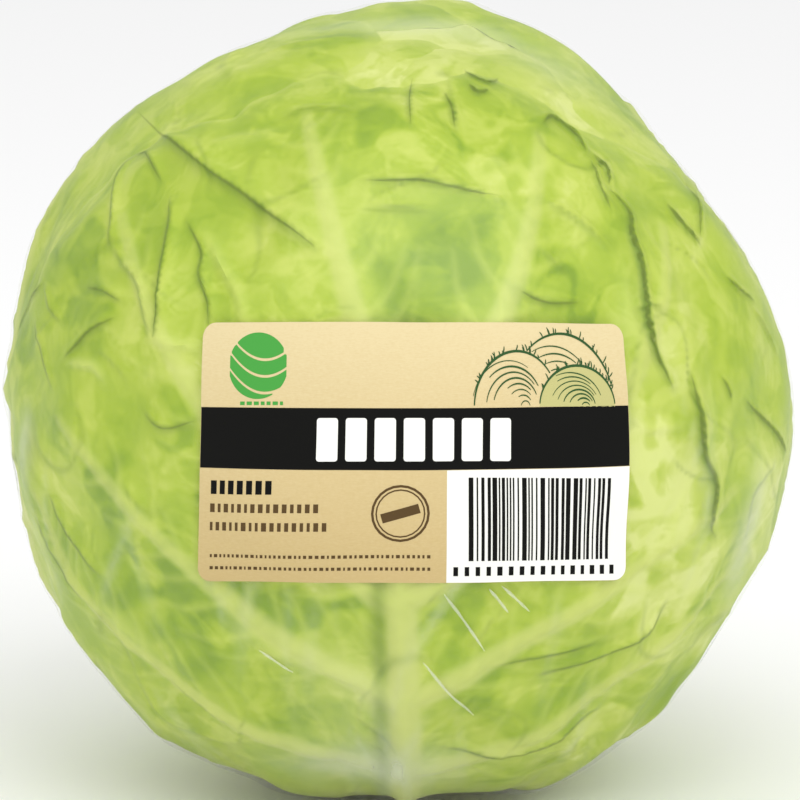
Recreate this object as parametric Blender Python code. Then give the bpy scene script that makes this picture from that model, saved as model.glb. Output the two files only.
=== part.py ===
"""A head of cabbage standing on its cut stump, in clear film with a paper label on its front.

Every layer is laid over the ones below it, from the dense head outwards: wrapper leaves, film, label.
Lengths are in millimetres and angles in degrees until a mesh is made. The front faces -Y.
"""

import math

import bmesh
import bpy
import numpy as np
from mathutils import Vector
from mathutils.bvhtree import BVHTree
from mathutils.geometry import delaunay_2d_cdt

MM = 0.001

# Driving dimensions
CENTRE_HEIGHT = 84.0  # the head's middle above the surface it stands on
HEAD_RADII = (75.4, 74.0, 76.0)  # the dense head's half width, half depth and half height
STUMP_TAPER = 10.0  # half angle of the stump, seen from the head's middle
STUMP_TOP = 9.0
STUMP_EDGE = 0.8  # bevel round the cut face
STUMP_SIDES = 28
LEAF_THICKNESS = 0.8
LEAF_BASE = 11.9  # the leaves start this far from the stump's axis, seen from the head's middle
FILM_THICKNESS = 0.4
FILM_MOUTH = 11.4  # the film is gathered round the stump and ends here
LABEL_SIZE = (93.0, 53.5)
LABEL_CORNER = 3.0
LABEL_THICKNESS = 0.3
LABEL_CORNER_STEPS = 3
LABEL_COLUMNS = 15
LABEL_ROWS = 10
LABEL_PLACE = (3.4, -11.3)  # right of and above the front leaf's middle
GAP = 0.45  # between one layer and the next

# Swellings of the whole head with its leaves: height, reach,
# direction round the front view (0 right, 90 up) and degrees towards the back
SWELLINGS = (
    (1.0, 22.0, 0.0, 0.0),
    (-5.8, 24.0, 42.0, 0.0),
    (2.7, 18.0, 82.0, 0.0),
    (0.7, 24.0, 160.0, 0.0),
    (2.2, 24.0, 200.0, 0.0),
    (4.4, 24.0, 240.0, 0.0),
    (4.4, 20.0, 275.0, 0.0),
    (3.3, 20.0, 305.0, 0.0),
    (1.7, 20.0, 335.0, 0.0),
    (1.5, 40.0, 0.0, 90.0),
)
SWELLING_FADE = 26.0  # they fade away over this many degrees towards the stump
FRONT_TILT = 12.0  # the front leaf's middle looks up by this much

# The foot: the head is drawn in where it comes down to the stump
FOOT_DEPTH = 0.9
FOOT_REACH = 34.0

# Wrapper leaves, innermost first: turn round the stump from the front, tilt of the middle, reach up and
# sideways, and how the folds lie on it: 1 as on the front leaf, -1 mirrored, 0 none
LEAVES = (
    ("leaf_6", 327.5, 16.0, 66.0, 78.0, 0),
    ("leaf_5", 190.0, 10.0, 84.0, 80.0, 0),
    ("leaf_4", 52.5, 14.0, 62.0, 76.0, 0),
    ("leaf_3", 275.0, 12.0, 72.0, 80.0, 1),
    ("leaf_2", 137.5, 12.0, 70.0, 82.0, -1),
    ("leaf_1", 0.0, FRONT_TILT, 55.0, 84.0, 1),
)
LEAF_CLASP = 98.0  # reach down from the horizon, past the stump, which cuts the leaf's base short
BASE_TAPER = 1.5  # below 2 the leaf narrows towards its base
MARGIN_WAVES = 11
MARGIN_WAVE = 1.6  # the margin waves in and out by this
WAVE_FADE = 0.6  # the waves fade out below the leaf's middle
MARGIN_LIFT = 0.7  # and stands off the leaf below by up to this
LIFT_START = 0.7  # share of the way from the leaf's middle to its margin
OUTLINE_POINTS = 56
OUTLINE_STEP = 0.1
INSIDE_SHARE = 0.95  # no point of the leaf's inside lies nearer its margin
BASE_CLEARANCE = 2.0

# Main side ribs of a leaf, each side: where it leaves the midrib, a point halfway, its end
RIBS_LEFT = (
    ((0.0, -67.0), (-44.5, -44.5), (-66.0, -18.0)),
    ((0.0, -49.0), (-27.0, -30.0), (-56.0, -4.0)),
    ((0.0, -31.0), (-27.0, -3.0), (-46.0, 30.0)),
    ((0.0, -11.0), (-8.0, 18.0), (-14.5, 44.0)),
)
RIBS_RIGHT = (
    ((0.0, -68.0), (37.5, -51.0), (63.0, -29.0)),
    ((0.0, -49.0), (30.0, -31.5), (58.0, -16.0)),
    ((0.0, -30.0), (30.0, -4.5), (44.0, 28.0)),
    ((0.0, -11.0), (15.0, 13.5), (21.5, 40.0)),
)
# Folds pressed into an outer leaf: start, a point halfway, end
FOLDS = (
    ((-51.0, 56.0), (-27.0, 35.5), (-13.0, 22.5)),
    ((-36.5, 28.5), (-36.0, 20.5), (-36.0, 12.0)),
    ((-29.5, 25.5), (-25.0, 18.0), (-22.5, 11.5)),
    ((-50.0, 45.0), (-45.5, 26.0), (-38.5, 11.5)),
    ((21.5, 41.5), (26.5, 47.0), (31.5, 42.0)),
    ((31.5, 42.0), (37.0, 22.5), (43.5, 2.0)),
    ((46.5, 4.5), (49.0, -8.0), (53.0, -22.5)),
    ((25.0, -44.5), (35.5, -42.0), (45.0, -36.0)),
)
MIDRIB = ((0.0, -78.0), (0.0, -45.0), (0.0, -6.0))
MIDRIB_FORM = (3.0, 8.0, 1.0, 2.4)  # height and half width at the stump, then at the far end
RIB_FORM = (1.8, 3.0, 0.5, 1.5)
FOLD_FORM = (1.1, 2.4, 0.5, 1.4)
MIDRIB_SAMPLES = 9
RIB_SAMPLES = 7
FOLD_SAMPLES = 5
RIB_REFINING = 4  # a rib's height is measured from a line with this many times its points
FILL_SPACING = 13.0
FILL_CLEARANCE = 5.0

# Inner leaves seen as low terraces on the dense head: turn, tilt, reach
TERRACES = (
    (70.0, 38.0, 58.0),
    (205.0, 48.0, 50.0),
    (320.0, 60.0, 42.0),
)
TERRACE_STEP = 0.9
TERRACE_EDGE = 3.0  # the step's width
SEAT_MARGIN = 0.9  # the flat seat of the stump is wider than the stump by this
SEAT_EDGE = 1.4
SHOULDER = 6.0
HEAD_COLUMNS = 40
HEAD_ROWS = 20

FILM_COLUMNS = 44
FILM_ROWS = 20
FILM_CROWDING = 1.25  # the rows of facets are closer together near the stump
FILM_PLEAT = 0.5
FILM_PLEAT_REACH = 34.0

LEAF_SLACK = 5  # relaxing passes: how far a layer spans the hollows below it
FILM_SLACK = 30
LABEL_SLACK = 30
PROBES = 9  # rays across each facet's edge when it is laid on what is below


def turned(angle):
    return math.cos(math.radians(angle)), math.sin(math.radians(angle))


class Plane:
    """A flat chart of the head seen from one direction: distances from its middle are angles from it."""

    def __init__(self, turn, tilt):
        ct, st = turned(turn - 90.0)
        ce, se = turned(tilt)
        self.middle = np.array((ct * ce, st * ce, se))
        self.right = np.array((-st, ct, 0.0))
        self.up = np.cross(self.middle, self.right)

    def directions(self, points):
        points = np.asarray(points, float)
        angle = np.radians(np.linalg.norm(points, axis=1))
        unit = points / np.maximum(np.linalg.norm(points, axis=1), 1e-9)[:, None]
        sideways = unit[:, :1] * self.right + unit[:, 1:] * self.up
        return np.cos(angle)[:, None] * self.middle + np.sin(angle)[:, None] * sideways


FRONT = Plane(0.0, FRONT_TILT)
DOWN = (0.0, 0.0, -1.0)


def angle_between(directions, axis):
    return np.degrees(np.arccos(np.clip(directions @ np.asarray(axis), -1.0, 1.0)))


def bump(distance, reach):
    return np.exp(-((distance / reach) ** 2))


def smooth_step(x):
    x = np.clip(x, 0.0, 1.0)
    return x * x * (3.0 - 2.0 * x)


def head_radius(directions):
    """The dense head, without its terraces."""
    radius = 1.0 / np.linalg.norm(directions / np.array(HEAD_RADII), axis=1)
    from_stump = angle_between(directions, DOWN)
    return radius - FOOT_DEPTH * bump(from_stump, FOOT_REACH)


def swollen(points):
    """Points moved in or out by the swellings, which fade away at the stump."""
    points = np.asarray(points, float)
    directions = points / np.linalg.norm(points, axis=1)[:, None]
    rise = np.zeros(len(points))
    for height, reach, around, behind in SWELLINGS:
        c, s = turned(around)
        cb, sb = turned(behind)
        axis = cb * (c * FRONT.right + s * FRONT.up) - sb * FRONT.middle
        rise += height * bump(angle_between(directions, axis), reach)
    rise *= smooth_step((angle_between(directions, DOWN) - STUMP_TAPER) / SWELLING_FADE)
    return points * (1.0 + rise / CENTRE_HEIGHT)[:, None]


def add_solid(name, points, faces, colour, roughness, alpha=1.0):
    """One closed mesh round the head's middle, from points in mm."""
    mesh = bpy.data.meshes.new(name)
    mesh.from_pydata([Vector(p) * MM for p in swollen(points)], [], [tuple(int(i) for i in f) for f in faces])
    mesh.validate()
    shaped = bmesh.new()
    shaped.from_mesh(mesh)
    bmesh.ops.recalc_face_normals(shaped, faces=shaped.faces)
    shaped.to_mesh(mesh)
    shaped.free()
    mesh.shade_smooth()
    material = bpy.data.materials.new(name)
    material.use_nodes = True
    shader = material.node_tree.nodes["Principled BSDF"]
    shader.inputs["Base Color"].default_value = (*colour, 1.0)
    shader.inputs["Roughness"].default_value = roughness
    shader.inputs["Metallic"].default_value = 0.0
    shader.inputs["Alpha"].default_value = alpha
    mesh.materials.append(material)
    obj = bpy.data.objects.new(name, mesh)
    obj.location = (0.0, 0.0, CENTRE_HEIGHT * MM)
    bpy.context.scene.collection.objects.link(obj)
    return obj


class Pile:
    """What has been laid so far, and how far out it reaches in any direction."""

    def __init__(self):
        self.points = []
        self.faces = []
        self.tree = None

    def add(self, points, faces):
        start = len(self.points)
        self.points += [Vector(p) for p in points]
        self.faces += [tuple(int(i) + start for i in f) for f in faces]
        self.tree = BVHTree.FromPolygons(self.points, self.faces)

    def reach(self, directions):
        far = 200.0
        found = np.zeros(len(directions))
        for i, d in enumerate(directions):
            d = Vector(d)
            hit = self.tree.ray_cast(d * far, -d)
            found[i] = far - hit[3] if hit[0] is not None else 0.0
        return found


def facet_probes():
    """Weights of the points where each facet is tested."""
    steps = range(PROBES + 1)
    return np.array([(i, j, PROBES - i - j) for i in steps for j in steps if i + j <= PROBES]) / PROBES


def lay(directions, triangles, pile, slack):
    """Radius of each corner so that every flat facet clears the pile by GAP, drawn tight over its hollows."""
    weights = facet_probes()
    corners = directions[triangles]
    probes = np.einsum("kw,twc->tkc", weights, corners)
    length = np.linalg.norm(probes, axis=2)
    reach = pile.reach((probes / length[..., None]).reshape(-1, 3)).reshape(length.shape)
    needed = (reach / length).max(axis=1)
    least = np.zeros(len(directions))
    for corner in range(3):
        np.maximum.at(least, triangles[:, corner], needed)
    edges = np.concatenate([triangles[:, [0, 1]], triangles[:, [1, 2]], triangles[:, [2, 0]]])
    edges = np.unique(np.sort(edges, axis=1), axis=0)
    ends = np.concatenate([edges, edges[:, ::-1]])
    count = np.bincount(ends[:, 0], minlength=len(directions))
    radius = least
    for _ in range(slack):
        middle = np.zeros((len(directions), 3))
        np.add.at(middle, ends[:, 0], (directions * radius[:, None])[ends[:, 1]])
        stretched = np.einsum("ij,ij->i", middle, directions) / count
        radius = np.maximum(least, stretched)
    return radius + GAP


def sheet_faces(triangles, count):
    """Faces of a closed sheet: the outer copy of the triangles, the inner copy turned over, and its rim."""
    edges = np.concatenate([triangles[:, [0, 1]], triangles[:, [1, 2]], triangles[:, [2, 0]]])
    present = {tuple(e) for e in edges.tolist()}
    rim = [e for e in present if (e[1], e[0]) not in present]
    faces = triangles.tolist() + (triangles[:, ::-1] + count).tolist()
    for a, b in sorted(rim):
        faces += [(b, a, a + count), (b, a + count, b + count)]
    return faces


def outward(directions, triangles):
    """The triangles, each turned so that it faces away from the head's middle."""
    a, b, c = (directions[triangles[:, k]] for k in range(3))
    inward = np.einsum("ij,ij->i", np.cross(b - a, c - a), a) < 0
    fixed = triangles.copy()
    fixed[inward] = fixed[inward][:, ::-1]
    return fixed


def triangulated(outline, inside):
    """Delaunay triangles of the outline and the points inside it."""
    points = [Vector(p) for p in [*outline, *inside]]
    found = delaunay_2d_cdt(points, [], [list(range(len(outline)))], 1, 1e-4)
    return np.array([tuple(p) for p in found[0]]), np.array([list(f) for f in found[2]])


def arc_through(start, middle, end, samples):
    """Points of the quadratic curve that passes through middle halfway."""
    start, middle, end = (np.array(p) for p in (start, middle, end))
    control = 2.0 * middle - 0.5 * (start + end)
    t = np.linspace(0.0, 1.0, samples)[:, None]
    return (1 - t) ** 2 * start + 2 * t * (1 - t) * control + t * t * end


class Leaf:
    """Outline, ribs and thickness of one wrapper leaf, on its own chart."""

    def __init__(self, turn, tilt, reach_up, reach_side, folded):
        self.plane = Plane(turn, tilt)
        self.reach_up = reach_up
        self.reach_side = reach_side
        self.reach_down = LEAF_CLASP + tilt
        self.phase = math.radians(turn)
        self.ribs = [(arc_through(*MIDRIB, MIDRIB_SAMPLES), MIDRIB_FORM)]
        for side in (RIBS_LEFT, RIBS_RIGHT):
            self.ribs += [(arc_through(*rib, RIB_SAMPLES), RIB_FORM) for rib in side]
        if folded:
            self.ribs += [(arc_through(*fold, FOLD_SAMPLES) * (folded, 1), FOLD_FORM) for fold in FOLDS]

    def margin(self, around):
        """Distance from the chart's middle to the leaf's edge, before the stump cuts it."""
        c, s = abs(math.cos(around)), math.sin(around)
        reach = self.reach_up if s > 0 else self.reach_down
        power = 2.0 if s > 0 else BASE_TAPER
        plain = ((c / self.reach_side) ** power + (abs(s) / reach) ** power) ** (-1.0 / power)
        return plain + MARGIN_WAVE * math.sin(MARGIN_WAVES * around + self.phase) * max(0.0, s + WAVE_FADE)

    def outline(self):
        points = []
        for k in range(OUTLINE_POINTS):
            around = 2.0 * math.pi * (k + 0.5) / OUTLINE_POINTS
            reach = self.margin(around)
            toward = np.array((math.cos(around), math.sin(around)))
            while angle_between(self.plane.directions([toward * reach]), DOWN)[0] < LEAF_BASE:
                reach -= OUTLINE_STEP
            points.append(toward * reach)
        return np.array(points)

    def edge_share(self, points):
        """0 at the chart's middle, 1 on the leaf's edge."""
        around = np.arctan2(points[:, 1], points[:, 0])
        margin = np.array([self.margin(a) for a in around])
        return np.linalg.norm(points, axis=1) / margin

    def rib_points(self):
        found = []
        for path, (_, wide, _, narrow) in self.ribs:
            along = np.gradient(path, axis=0)
            across = np.stack([-along[:, 1], along[:, 0]], axis=1)
            across /= np.linalg.norm(across, axis=1)[:, None]
            width = np.linspace(wide, narrow, len(path))[:, None]
            found += [path, path + across * width, path - across * width]
        return np.concatenate(found)

    def filling(self, taken):
        """Points between the ribs, in rows staggered like bricks, clear of the points already taken."""
        found = []
        rows = np.arange(-self.reach_down, self.reach_up, FILL_SPACING * math.sqrt(0.75))
        for k, y in enumerate(rows):
            for x in np.arange(-self.reach_side, self.reach_side, FILL_SPACING):
                point = np.array((x + (k % 2) * FILL_SPACING / 2.0, y))
                if np.linalg.norm(taken - point, axis=1).min() > FILL_CLEARANCE:
                    found.append(point)
        return np.array(found)

    def inside(self, points):
        """Points well inside the edge and clear of the stump."""
        clear = angle_between(self.plane.directions(points), DOWN) > LEAF_BASE + BASE_CLEARANCE
        return points[(self.edge_share(points) < INSIDE_SHARE) & clear]

    def rib_height(self, points):
        height = np.zeros(len(points))
        for path, (high, wide, low, narrow) in self.ribs:
            steps = np.linspace(0.0, 1.0, RIB_REFINING * len(path))
            fine = np.stack([np.interp(steps, np.linspace(0, 1, len(path)), path[:, k]) for k in (0, 1)], 1)
            away = np.linalg.norm(points[:, None] - fine[None], axis=2)
            near = away.argmin(axis=1)
            share = steps[near]
            width = wide + (narrow - wide) * share
            peak = high + (low - high) * share
            rise = np.clip(1.0 - away.min(axis=1) / width, 0.0, 1.0)
            height = np.maximum(height, peak * np.sin(rise * math.pi / 2))
        return height

    def margin_lift(self, points):
        around = np.arctan2(points[:, 1], points[:, 0])
        wave = 0.5 + 0.5 * np.sin(MARGIN_WAVES * around + self.phase + 1.0)
        near_edge = smooth_step((self.edge_share(points) - LIFT_START) / (1.0 - LIFT_START))
        return MARGIN_LIFT * wave * near_edge


def wrapper_leaf(name, turn, tilt, reach_up, reach_side, folded, pile):
    leaf = Leaf(turn, tilt, reach_up, reach_side, folded)
    outline = leaf.outline()
    ribs = leaf.inside(leaf.rib_points())
    fill = leaf.inside(leaf.filling(np.concatenate([outline, ribs])))
    points, triangles = triangulated(outline, np.concatenate([ribs, fill]))
    directions = leaf.plane.directions(points)
    triangles = outward(directions, triangles)
    inner = lay(directions, triangles, pile, LEAF_SLACK) + leaf.margin_lift(points)
    outer = inner + LEAF_THICKNESS + leaf.rib_height(points)
    solid = np.concatenate([directions * outer[:, None], directions * inner[:, None]])
    faces = sheet_faces(triangles, len(points))
    pile.add(solid, faces)
    return add_solid(name, solid, faces, (0.42, 0.56, 0.13), 0.45)


def terraces(directions):
    """Low steps where the dense head's own leaves overlap near its crown."""
    step = np.zeros(len(directions))
    for turn, tilt, reach in TERRACES:
        away = angle_between(directions, Plane(turn, tilt).middle)
        step += TERRACE_STEP * smooth_step((reach - away) / TERRACE_EDGE + 0.5)
    return step


def ring_grid(from_stump, columns, closed_below):
    """Directions and outward triangles of rings round the stump's axis, closed at the crown."""
    directions = []
    for angle in from_stump:
        c, s = turned(angle)
        for k in range(columns):
            cc, ss = turned(360.0 * k / columns)
            directions.append((s * cc, s * ss, -c))
    triangles = []
    for row in range(len(from_stump) - 1):
        for k in range(columns):
            a, b = row * columns + k, row * columns + (k + 1) % columns
            triangles += [(a, b, b + columns), (a, b + columns, a + columns)]
    crown = len(directions)
    directions.append((0.0, 0.0, 1.0))
    last = crown - columns
    triangles += [(last + k, last + (k + 1) % columns, crown) for k in range(columns)]
    if closed_below:
        directions.append(DOWN)
        triangles += [((k + 1) % columns, k, crown + 1) for k in range(columns)]
    directions = np.array(directions)
    return directions, outward(directions, np.array(triangles))


def dense_head(pile):
    """The closed head, with a flat seat for the stump."""
    rim = STUMP_TAPER + SEAT_MARGIN
    rows = [rim, rim + SEAT_EDGE, *np.linspace(rim + SHOULDER, 180.0 - 180.0 / HEAD_ROWS, HEAD_ROWS)]
    directions, triangles = ring_grid(rows, HEAD_COLUMNS, True)
    radius = head_radius(directions) + terraces(directions)
    seat = angle_between(directions, DOWN) < rim + SEAT_EDGE / 2.0
    radius[seat] = (CENTRE_HEIGHT - STUMP_TOP - GAP) / -directions[seat, 2]
    pile.add(directions * radius[:, None], triangles)
    return add_solid("head", directions * radius[:, None], triangles, (0.52, 0.63, 0.24), 0.5)


def stump():
    """The cut stalk: a plug that tapers towards the head's middle, flat where the knife went through."""
    low = CENTRE_HEIGHT * math.tan(math.radians(STUMP_TAPER))
    high = (CENTRE_HEIGHT - STUMP_TOP) * math.tan(math.radians(STUMP_TAPER))
    plug = bmesh.new()
    bmesh.ops.create_cone(
        plug, cap_ends=True, segments=STUMP_SIDES, radius1=low, radius2=high, depth=STUMP_TOP
    )
    bmesh.ops.translate(plug, verts=plug.verts, vec=(0.0, 0.0, STUMP_TOP / 2.0 - CENTRE_HEIGHT))
    cut = [e for e in plug.edges if all(v.co.z < 1e-3 - CENTRE_HEIGHT for v in e.verts)]
    bmesh.ops.bevel(plug, geom=cut, offset=STUMP_EDGE, segments=2, affect="EDGES", profile=0.5)
    bmesh.ops.triangulate(plug, faces=plug.faces)
    plug.verts.index_update()
    points = [tuple(v.co) for v in plug.verts]
    faces = [tuple(v.index for v in f.verts) for f in plug.faces]
    plug.free()
    return add_solid("stump", points, faces, (0.62, 0.60, 0.38), 0.7)


def film(pile):
    """Clear film drawn over the head from the crown and gathered in pleats round the stump."""
    share = np.linspace(0.0, 1.0, FILM_ROWS)
    rows = FILM_MOUTH + (180.0 - 180.0 / FILM_ROWS - FILM_MOUTH) * share**FILM_CROWDING
    directions, triangles = ring_grid(rows, FILM_COLUMNS, False)
    inner = lay(directions, triangles, pile, FILM_SLACK)
    from_stump = angle_between(directions, DOWN)
    column = np.arange(len(directions)) % FILM_COLUMNS
    gathered = 1.0 - smooth_step((from_stump - FILM_MOUTH) / FILM_PLEAT_REACH)
    inner = inner + FILM_PLEAT * (column % 2) * gathered
    outer = inner + FILM_THICKNESS
    solid = np.concatenate([directions * outer[:, None], directions * inner[:, None]])
    faces = sheet_faces(triangles, len(directions))
    pile.add(solid, faces)
    return add_solid("film", solid, faces, (0.9, 0.93, 0.88), 0.15, alpha=0.2)


def label_outline():
    """The label's edge in mm from its middle: four round corners and points along the sides between them."""
    half_width, half_height = (size / 2.0 for size in LABEL_SIZE)
    outline = []
    for corner, (sx, sy) in enumerate(((1, -1), (1, 1), (-1, 1), (-1, -1))):
        for step in range(LABEL_CORNER_STEPS + 1):
            c, s = turned(90.0 * (corner - 1 + step / LABEL_CORNER_STEPS))
            outline.append((sx * (half_width - LABEL_CORNER) + LABEL_CORNER * c,
                            sy * (half_height - LABEL_CORNER) + LABEL_CORNER * s))
    across = np.linspace(-half_width, half_width, LABEL_COLUMNS)[2:-2]
    upright = np.linspace(-half_height, half_height, LABEL_ROWS)[2:-2]
    outline += [(x, side * half_height) for side in (-1, 1) for x in across]
    outline += [(side * half_width, y) for side in (-1, 1) for y in upright]
    return sorted(outline, key=lambda p: math.atan2(p[1], p[0]))


def label_directions(points):
    """Directions of points given in mm across and up the label; its rows lie level in the front view."""
    per_mm = 1.0 / CENTRE_HEIGHT
    raised = (points[:, 1] + LABEL_PLACE[1]) * per_mm
    across = points[:, 0] * per_mm / np.cos(raised) + LABEL_PLACE[0] * per_mm
    level = np.sin(across)[:, None] * FRONT.right + np.cos(across)[:, None] * FRONT.middle
    return np.cos(raised)[:, None] * level + np.sin(raised)[:, None] * FRONT.up


def label(pile):
    """A paper label with round corners, stuck to the film on the front."""
    across = np.linspace(-0.5, 0.5, LABEL_COLUMNS)[1:-1] * LABEL_SIZE[0]
    upright = np.linspace(-0.5, 0.5, LABEL_ROWS)[1:-1] * LABEL_SIZE[1]
    points, triangles = triangulated(label_outline(), [(x, y) for x in across for y in upright])
    directions = label_directions(points)
    triangles = outward(directions, triangles)
    inner = lay(directions, triangles, pile, LABEL_SLACK)
    outer = inner + LABEL_THICKNESS
    solid = np.concatenate([directions * outer[:, None], directions * inner[:, None]])
    faces = sheet_faces(triangles, len(points))
    return add_solid("label", solid, faces, (0.74, 0.62, 0.38), 0.8)


def main():
    for old in list(bpy.data.objects):
        bpy.data.objects.remove(old)
    pile = Pile()
    dense_head(pile)
    stump()
    for leaf in LEAVES:
        wrapper_leaf(*leaf, pile)
    film(pile)
    label(pile)


main()
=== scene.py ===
"""The looks of a head of cabbage in clear film, with a paper label on its front.

The pieces follow the frame's plan at a finer scale: each wrapper leaf is laid over the ones below it,
the film over the leaves and the label on the film. Layers are fields of distances from the head's
middle, over charts whose coordinates are degrees. Lengths are in millimetres and angles in degrees until
a mesh is made. The front faces -Y. Places on the front leaf are given in pixels of the 800 pixel wide
photograph.
"""

import math

import bpy
import numpy as np
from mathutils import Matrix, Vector
from mathutils.geometry import delaunay_2d_cdt


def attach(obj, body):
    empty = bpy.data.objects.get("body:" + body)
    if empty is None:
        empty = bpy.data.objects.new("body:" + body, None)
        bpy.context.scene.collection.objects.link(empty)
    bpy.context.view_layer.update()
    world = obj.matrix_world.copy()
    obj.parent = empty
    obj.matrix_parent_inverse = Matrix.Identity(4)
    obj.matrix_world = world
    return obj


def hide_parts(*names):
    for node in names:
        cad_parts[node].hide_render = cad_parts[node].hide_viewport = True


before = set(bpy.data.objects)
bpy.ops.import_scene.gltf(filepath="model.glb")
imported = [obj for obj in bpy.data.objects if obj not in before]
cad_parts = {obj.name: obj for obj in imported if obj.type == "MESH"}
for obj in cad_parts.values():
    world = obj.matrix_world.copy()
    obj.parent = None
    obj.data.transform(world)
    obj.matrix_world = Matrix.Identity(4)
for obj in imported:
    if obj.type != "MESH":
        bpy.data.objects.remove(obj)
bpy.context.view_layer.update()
MM = 0.001

# The head's plan, as in the frame
CENTRE_HEIGHT = 84.0  # the head's middle above the surface it stands on
HEAD_RADII = (78.8, 78.3, 79.1)  # the dense head under the wrapper leaves
FOOT_DEPTH = 1.7  # how far the dense head is drawn in round the stump
FOOT_REACH = 34.0
STUMP_TAPER = 10.0  # half angle of the stump, seen from the head's middle
STUMP_TOP = 9.0
LEAF_BASE = 11.9  # the leaves start this far from the stump's axis
FILM_MOUTH = 11.4
FRONT_TILT = 12.0  # how far above level the photograph was taken from

# Swellings: height, reach, direction round the front view, degrees towards the back
SWELLINGS = (
    (1.0, 22.0, 0.0, 0.0),
    (-5.8, 24.0, 42.0, 0.0),
    (2.7, 18.0, 82.0, 0.0),
    (0.7, 24.0, 160.0, 0.0),
    (2.2, 24.0, 200.0, 0.0),
    (4.4, 24.0, 240.0, 0.0),
    (4.4, 20.0, 275.0, 0.0),
    (3.3, 20.0, 305.0, 0.0),
    (1.7, 20.0, 335.0, 0.0),
    (1.5, 40.0, 0.0, 90.0),
    (-2.0, 12.0, 116.0, 0.0),
    (-1.1, 10.0, 10.0, 0.0),
    (1.0, 14.0, 56.0, 0.0),
    (0.9, 12.0, 165.0, 0.0),
    (-1.3, 12.0, 192.0, 0.0),
    (-0.9, 9.0, 340.0, 0.0),
    (1.4, 8.0, 69.0, 0.0),
    (1.2, 8.0, 41.0, 0.0),
    (0.9, 8.0, 352.0, 0.0),
    (0.9, 8.0, 100.0, 0.0),
    (2.2, 13.0, 288.0, -8.0),
    (0.8, 12.0, 245.0, -8.0),
)
SWELLING_FADE = 18.0  # the swellings grow from nothing over this far from the stump
PRESS_HEIGHT = 2.4  # below this the head is pressed flatter by what it stands on

# Wrapper leaves, innermost first: turn, tilt, reach up, reach sideways, spacing of the mesh, folds
LEAVES = (
    ("leaf_6", 327.5, 16.0, 66.0, 78.0, 1.9, 8),
    ("leaf_5", 190.0, 10.0, 84.0, 80.0, 1.9, 10),
    ("leaf_4", 52.5, 14.0, 62.0, 76.0, 1.9, 10),
    ("leaf_3", 275.0, 12.0, 72.0, 80.0, 1.3, 22),
    ("leaf_2", 137.5, 12.0, 70.0, 82.0, 1.3, 22),
    ("leaf_1", 0.0, FRONT_TILT, 55.0, 84.0, 0.69, 0),
)
LEAF_CLASP = 98.0  # reach of an upright leaf down to its base
BASE_TAPER = 1.5  # the base is narrower than an ellipse, whose power is 2
MARGIN_WAVES = 11  # round the whole leaf
MARGIN_WAVE = 1.6
RUFFLE = 0.35
RUFFLES = ((29, 3, 1.0), (47, 5, 0.7))  # times round, turns of the leaf's phase, share
WAVE_FADE = 0.6
LEAF_THICKNESS = 0.7
LEAF_GAP = 0.12
OUTLINE_POINTS = 520
OUTLINE_STEP = 0.05  # the outline is cut back from the stump in steps of this size
OUTLINE_ROUNDS = 600

# Towards the margin, from these shares of the way to it on
SMOOTH_FROM, SMOOTH_TO = 0.84, 0.98  # the leaf's swellings and crumples fade away
LIFT_START = 0.86
MARGIN_LIFT = 0.16
THIN_FROM = 0.87
THINNED = 0.85
FLAT_FROM = 0.9  # the leaf comes down onto what is below it
FLATTENED = 0.8
PALE_FROM = 0.95
MARGIN_FROM = 0.955
MARGIN_SINK = 0.36  # the margin is pressed this far into what is below it

# Ribs of a leaf in its chart: start on the midrib, halfway, tip
RIBS = (
    ((0.0, -67.0), (-44.5, -44.5), (-66.0, -18.0)),
    ((0.0, -49.0), (-27.0, -30.0), (-56.0, -4.0)),
    ((0.0, -31.0), (-27.0, -3.0), (-46.0, 30.0)),
    ((0.0, -11.0), (-8.0, 18.0), (-14.5, 44.0)),
    ((0.0, -68.0), (37.5, -51.0), (63.0, -29.0)),
    ((0.0, -49.0), (30.0, -31.5), (58.0, -16.0)),
    ((0.0, -30.0), (30.0, -4.5), (44.0, 28.0)),
    ((0.0, -11.0), (15.0, 13.5), (21.5, 40.0)),
)
MIDRIB = ((1.0, -92.0), (1.0, -70.0), (0.5, -45.0), (0.0, -25.0), (0.0, -6.0))
MIDRIB_FORM = ((2.8, 0.9), (3.8, 2.2))  # heights, then half widths, at the stump's end and at the far end
RIB_FORM = ((1.5, 0.4), (3.4, 1.6))
VEIN_HEIGHT = 0.34
VEIN_WIDTHS = (0.8, 0.5)
MIDRIB_SPAN, RIB_SPAN, VEIN_SPAN = 24.0, 10.0, 3.5  # further away than this each is no longer felt

GRID_REACH = 114.0  # the charts' fields cover this far from their middle
GRID_STEP = 0.75
CLOSE_FROM = 0.9  # from here to its edge a leaf lies closer to what is below
LEAF_DRAPE = 3  # cells over which a leaf bends down from an edge below it
FILM_DRAPE = 4
FILM_THICKNESS = 0.12
FILM_COLUMNS = 300
FILM_ROWS = 146

# The camera of the photograph: straight at the head's middle, whose frame is this wide there
CAMERA_DISTANCE = 1500.0
PHOTO_WIDTH = 171.7
PHOTO_PIXELS = 800
PHOTO_MIDDLE = 400.0
MM_PER_DEGREE = CENTRE_HEIGHT * math.pi / 180.0
PIXELS_PER_DEGREE = MM_PER_DEGREE * PHOTO_PIXELS / PHOTO_WIDTH

# The search for the place on the head that a pixel shows
SEARCH_ROUNDS = 40
SEARCH_STEP = 0.14  # degrees for a pixel at the middle of the view
SEARCH_PACE = 0.7
SEARCH_STRIDE = 1.5
SEARCH_SLOPE = 76.0  # the steps no longer grow from here to the edge of the view
SEARCH_LIMIT = 86.0


def turned(angle):
    return math.cos(math.radians(angle)), math.sin(math.radians(angle))


def bump(distance, reach):
    return np.exp(-((distance / reach) ** 2))


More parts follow.
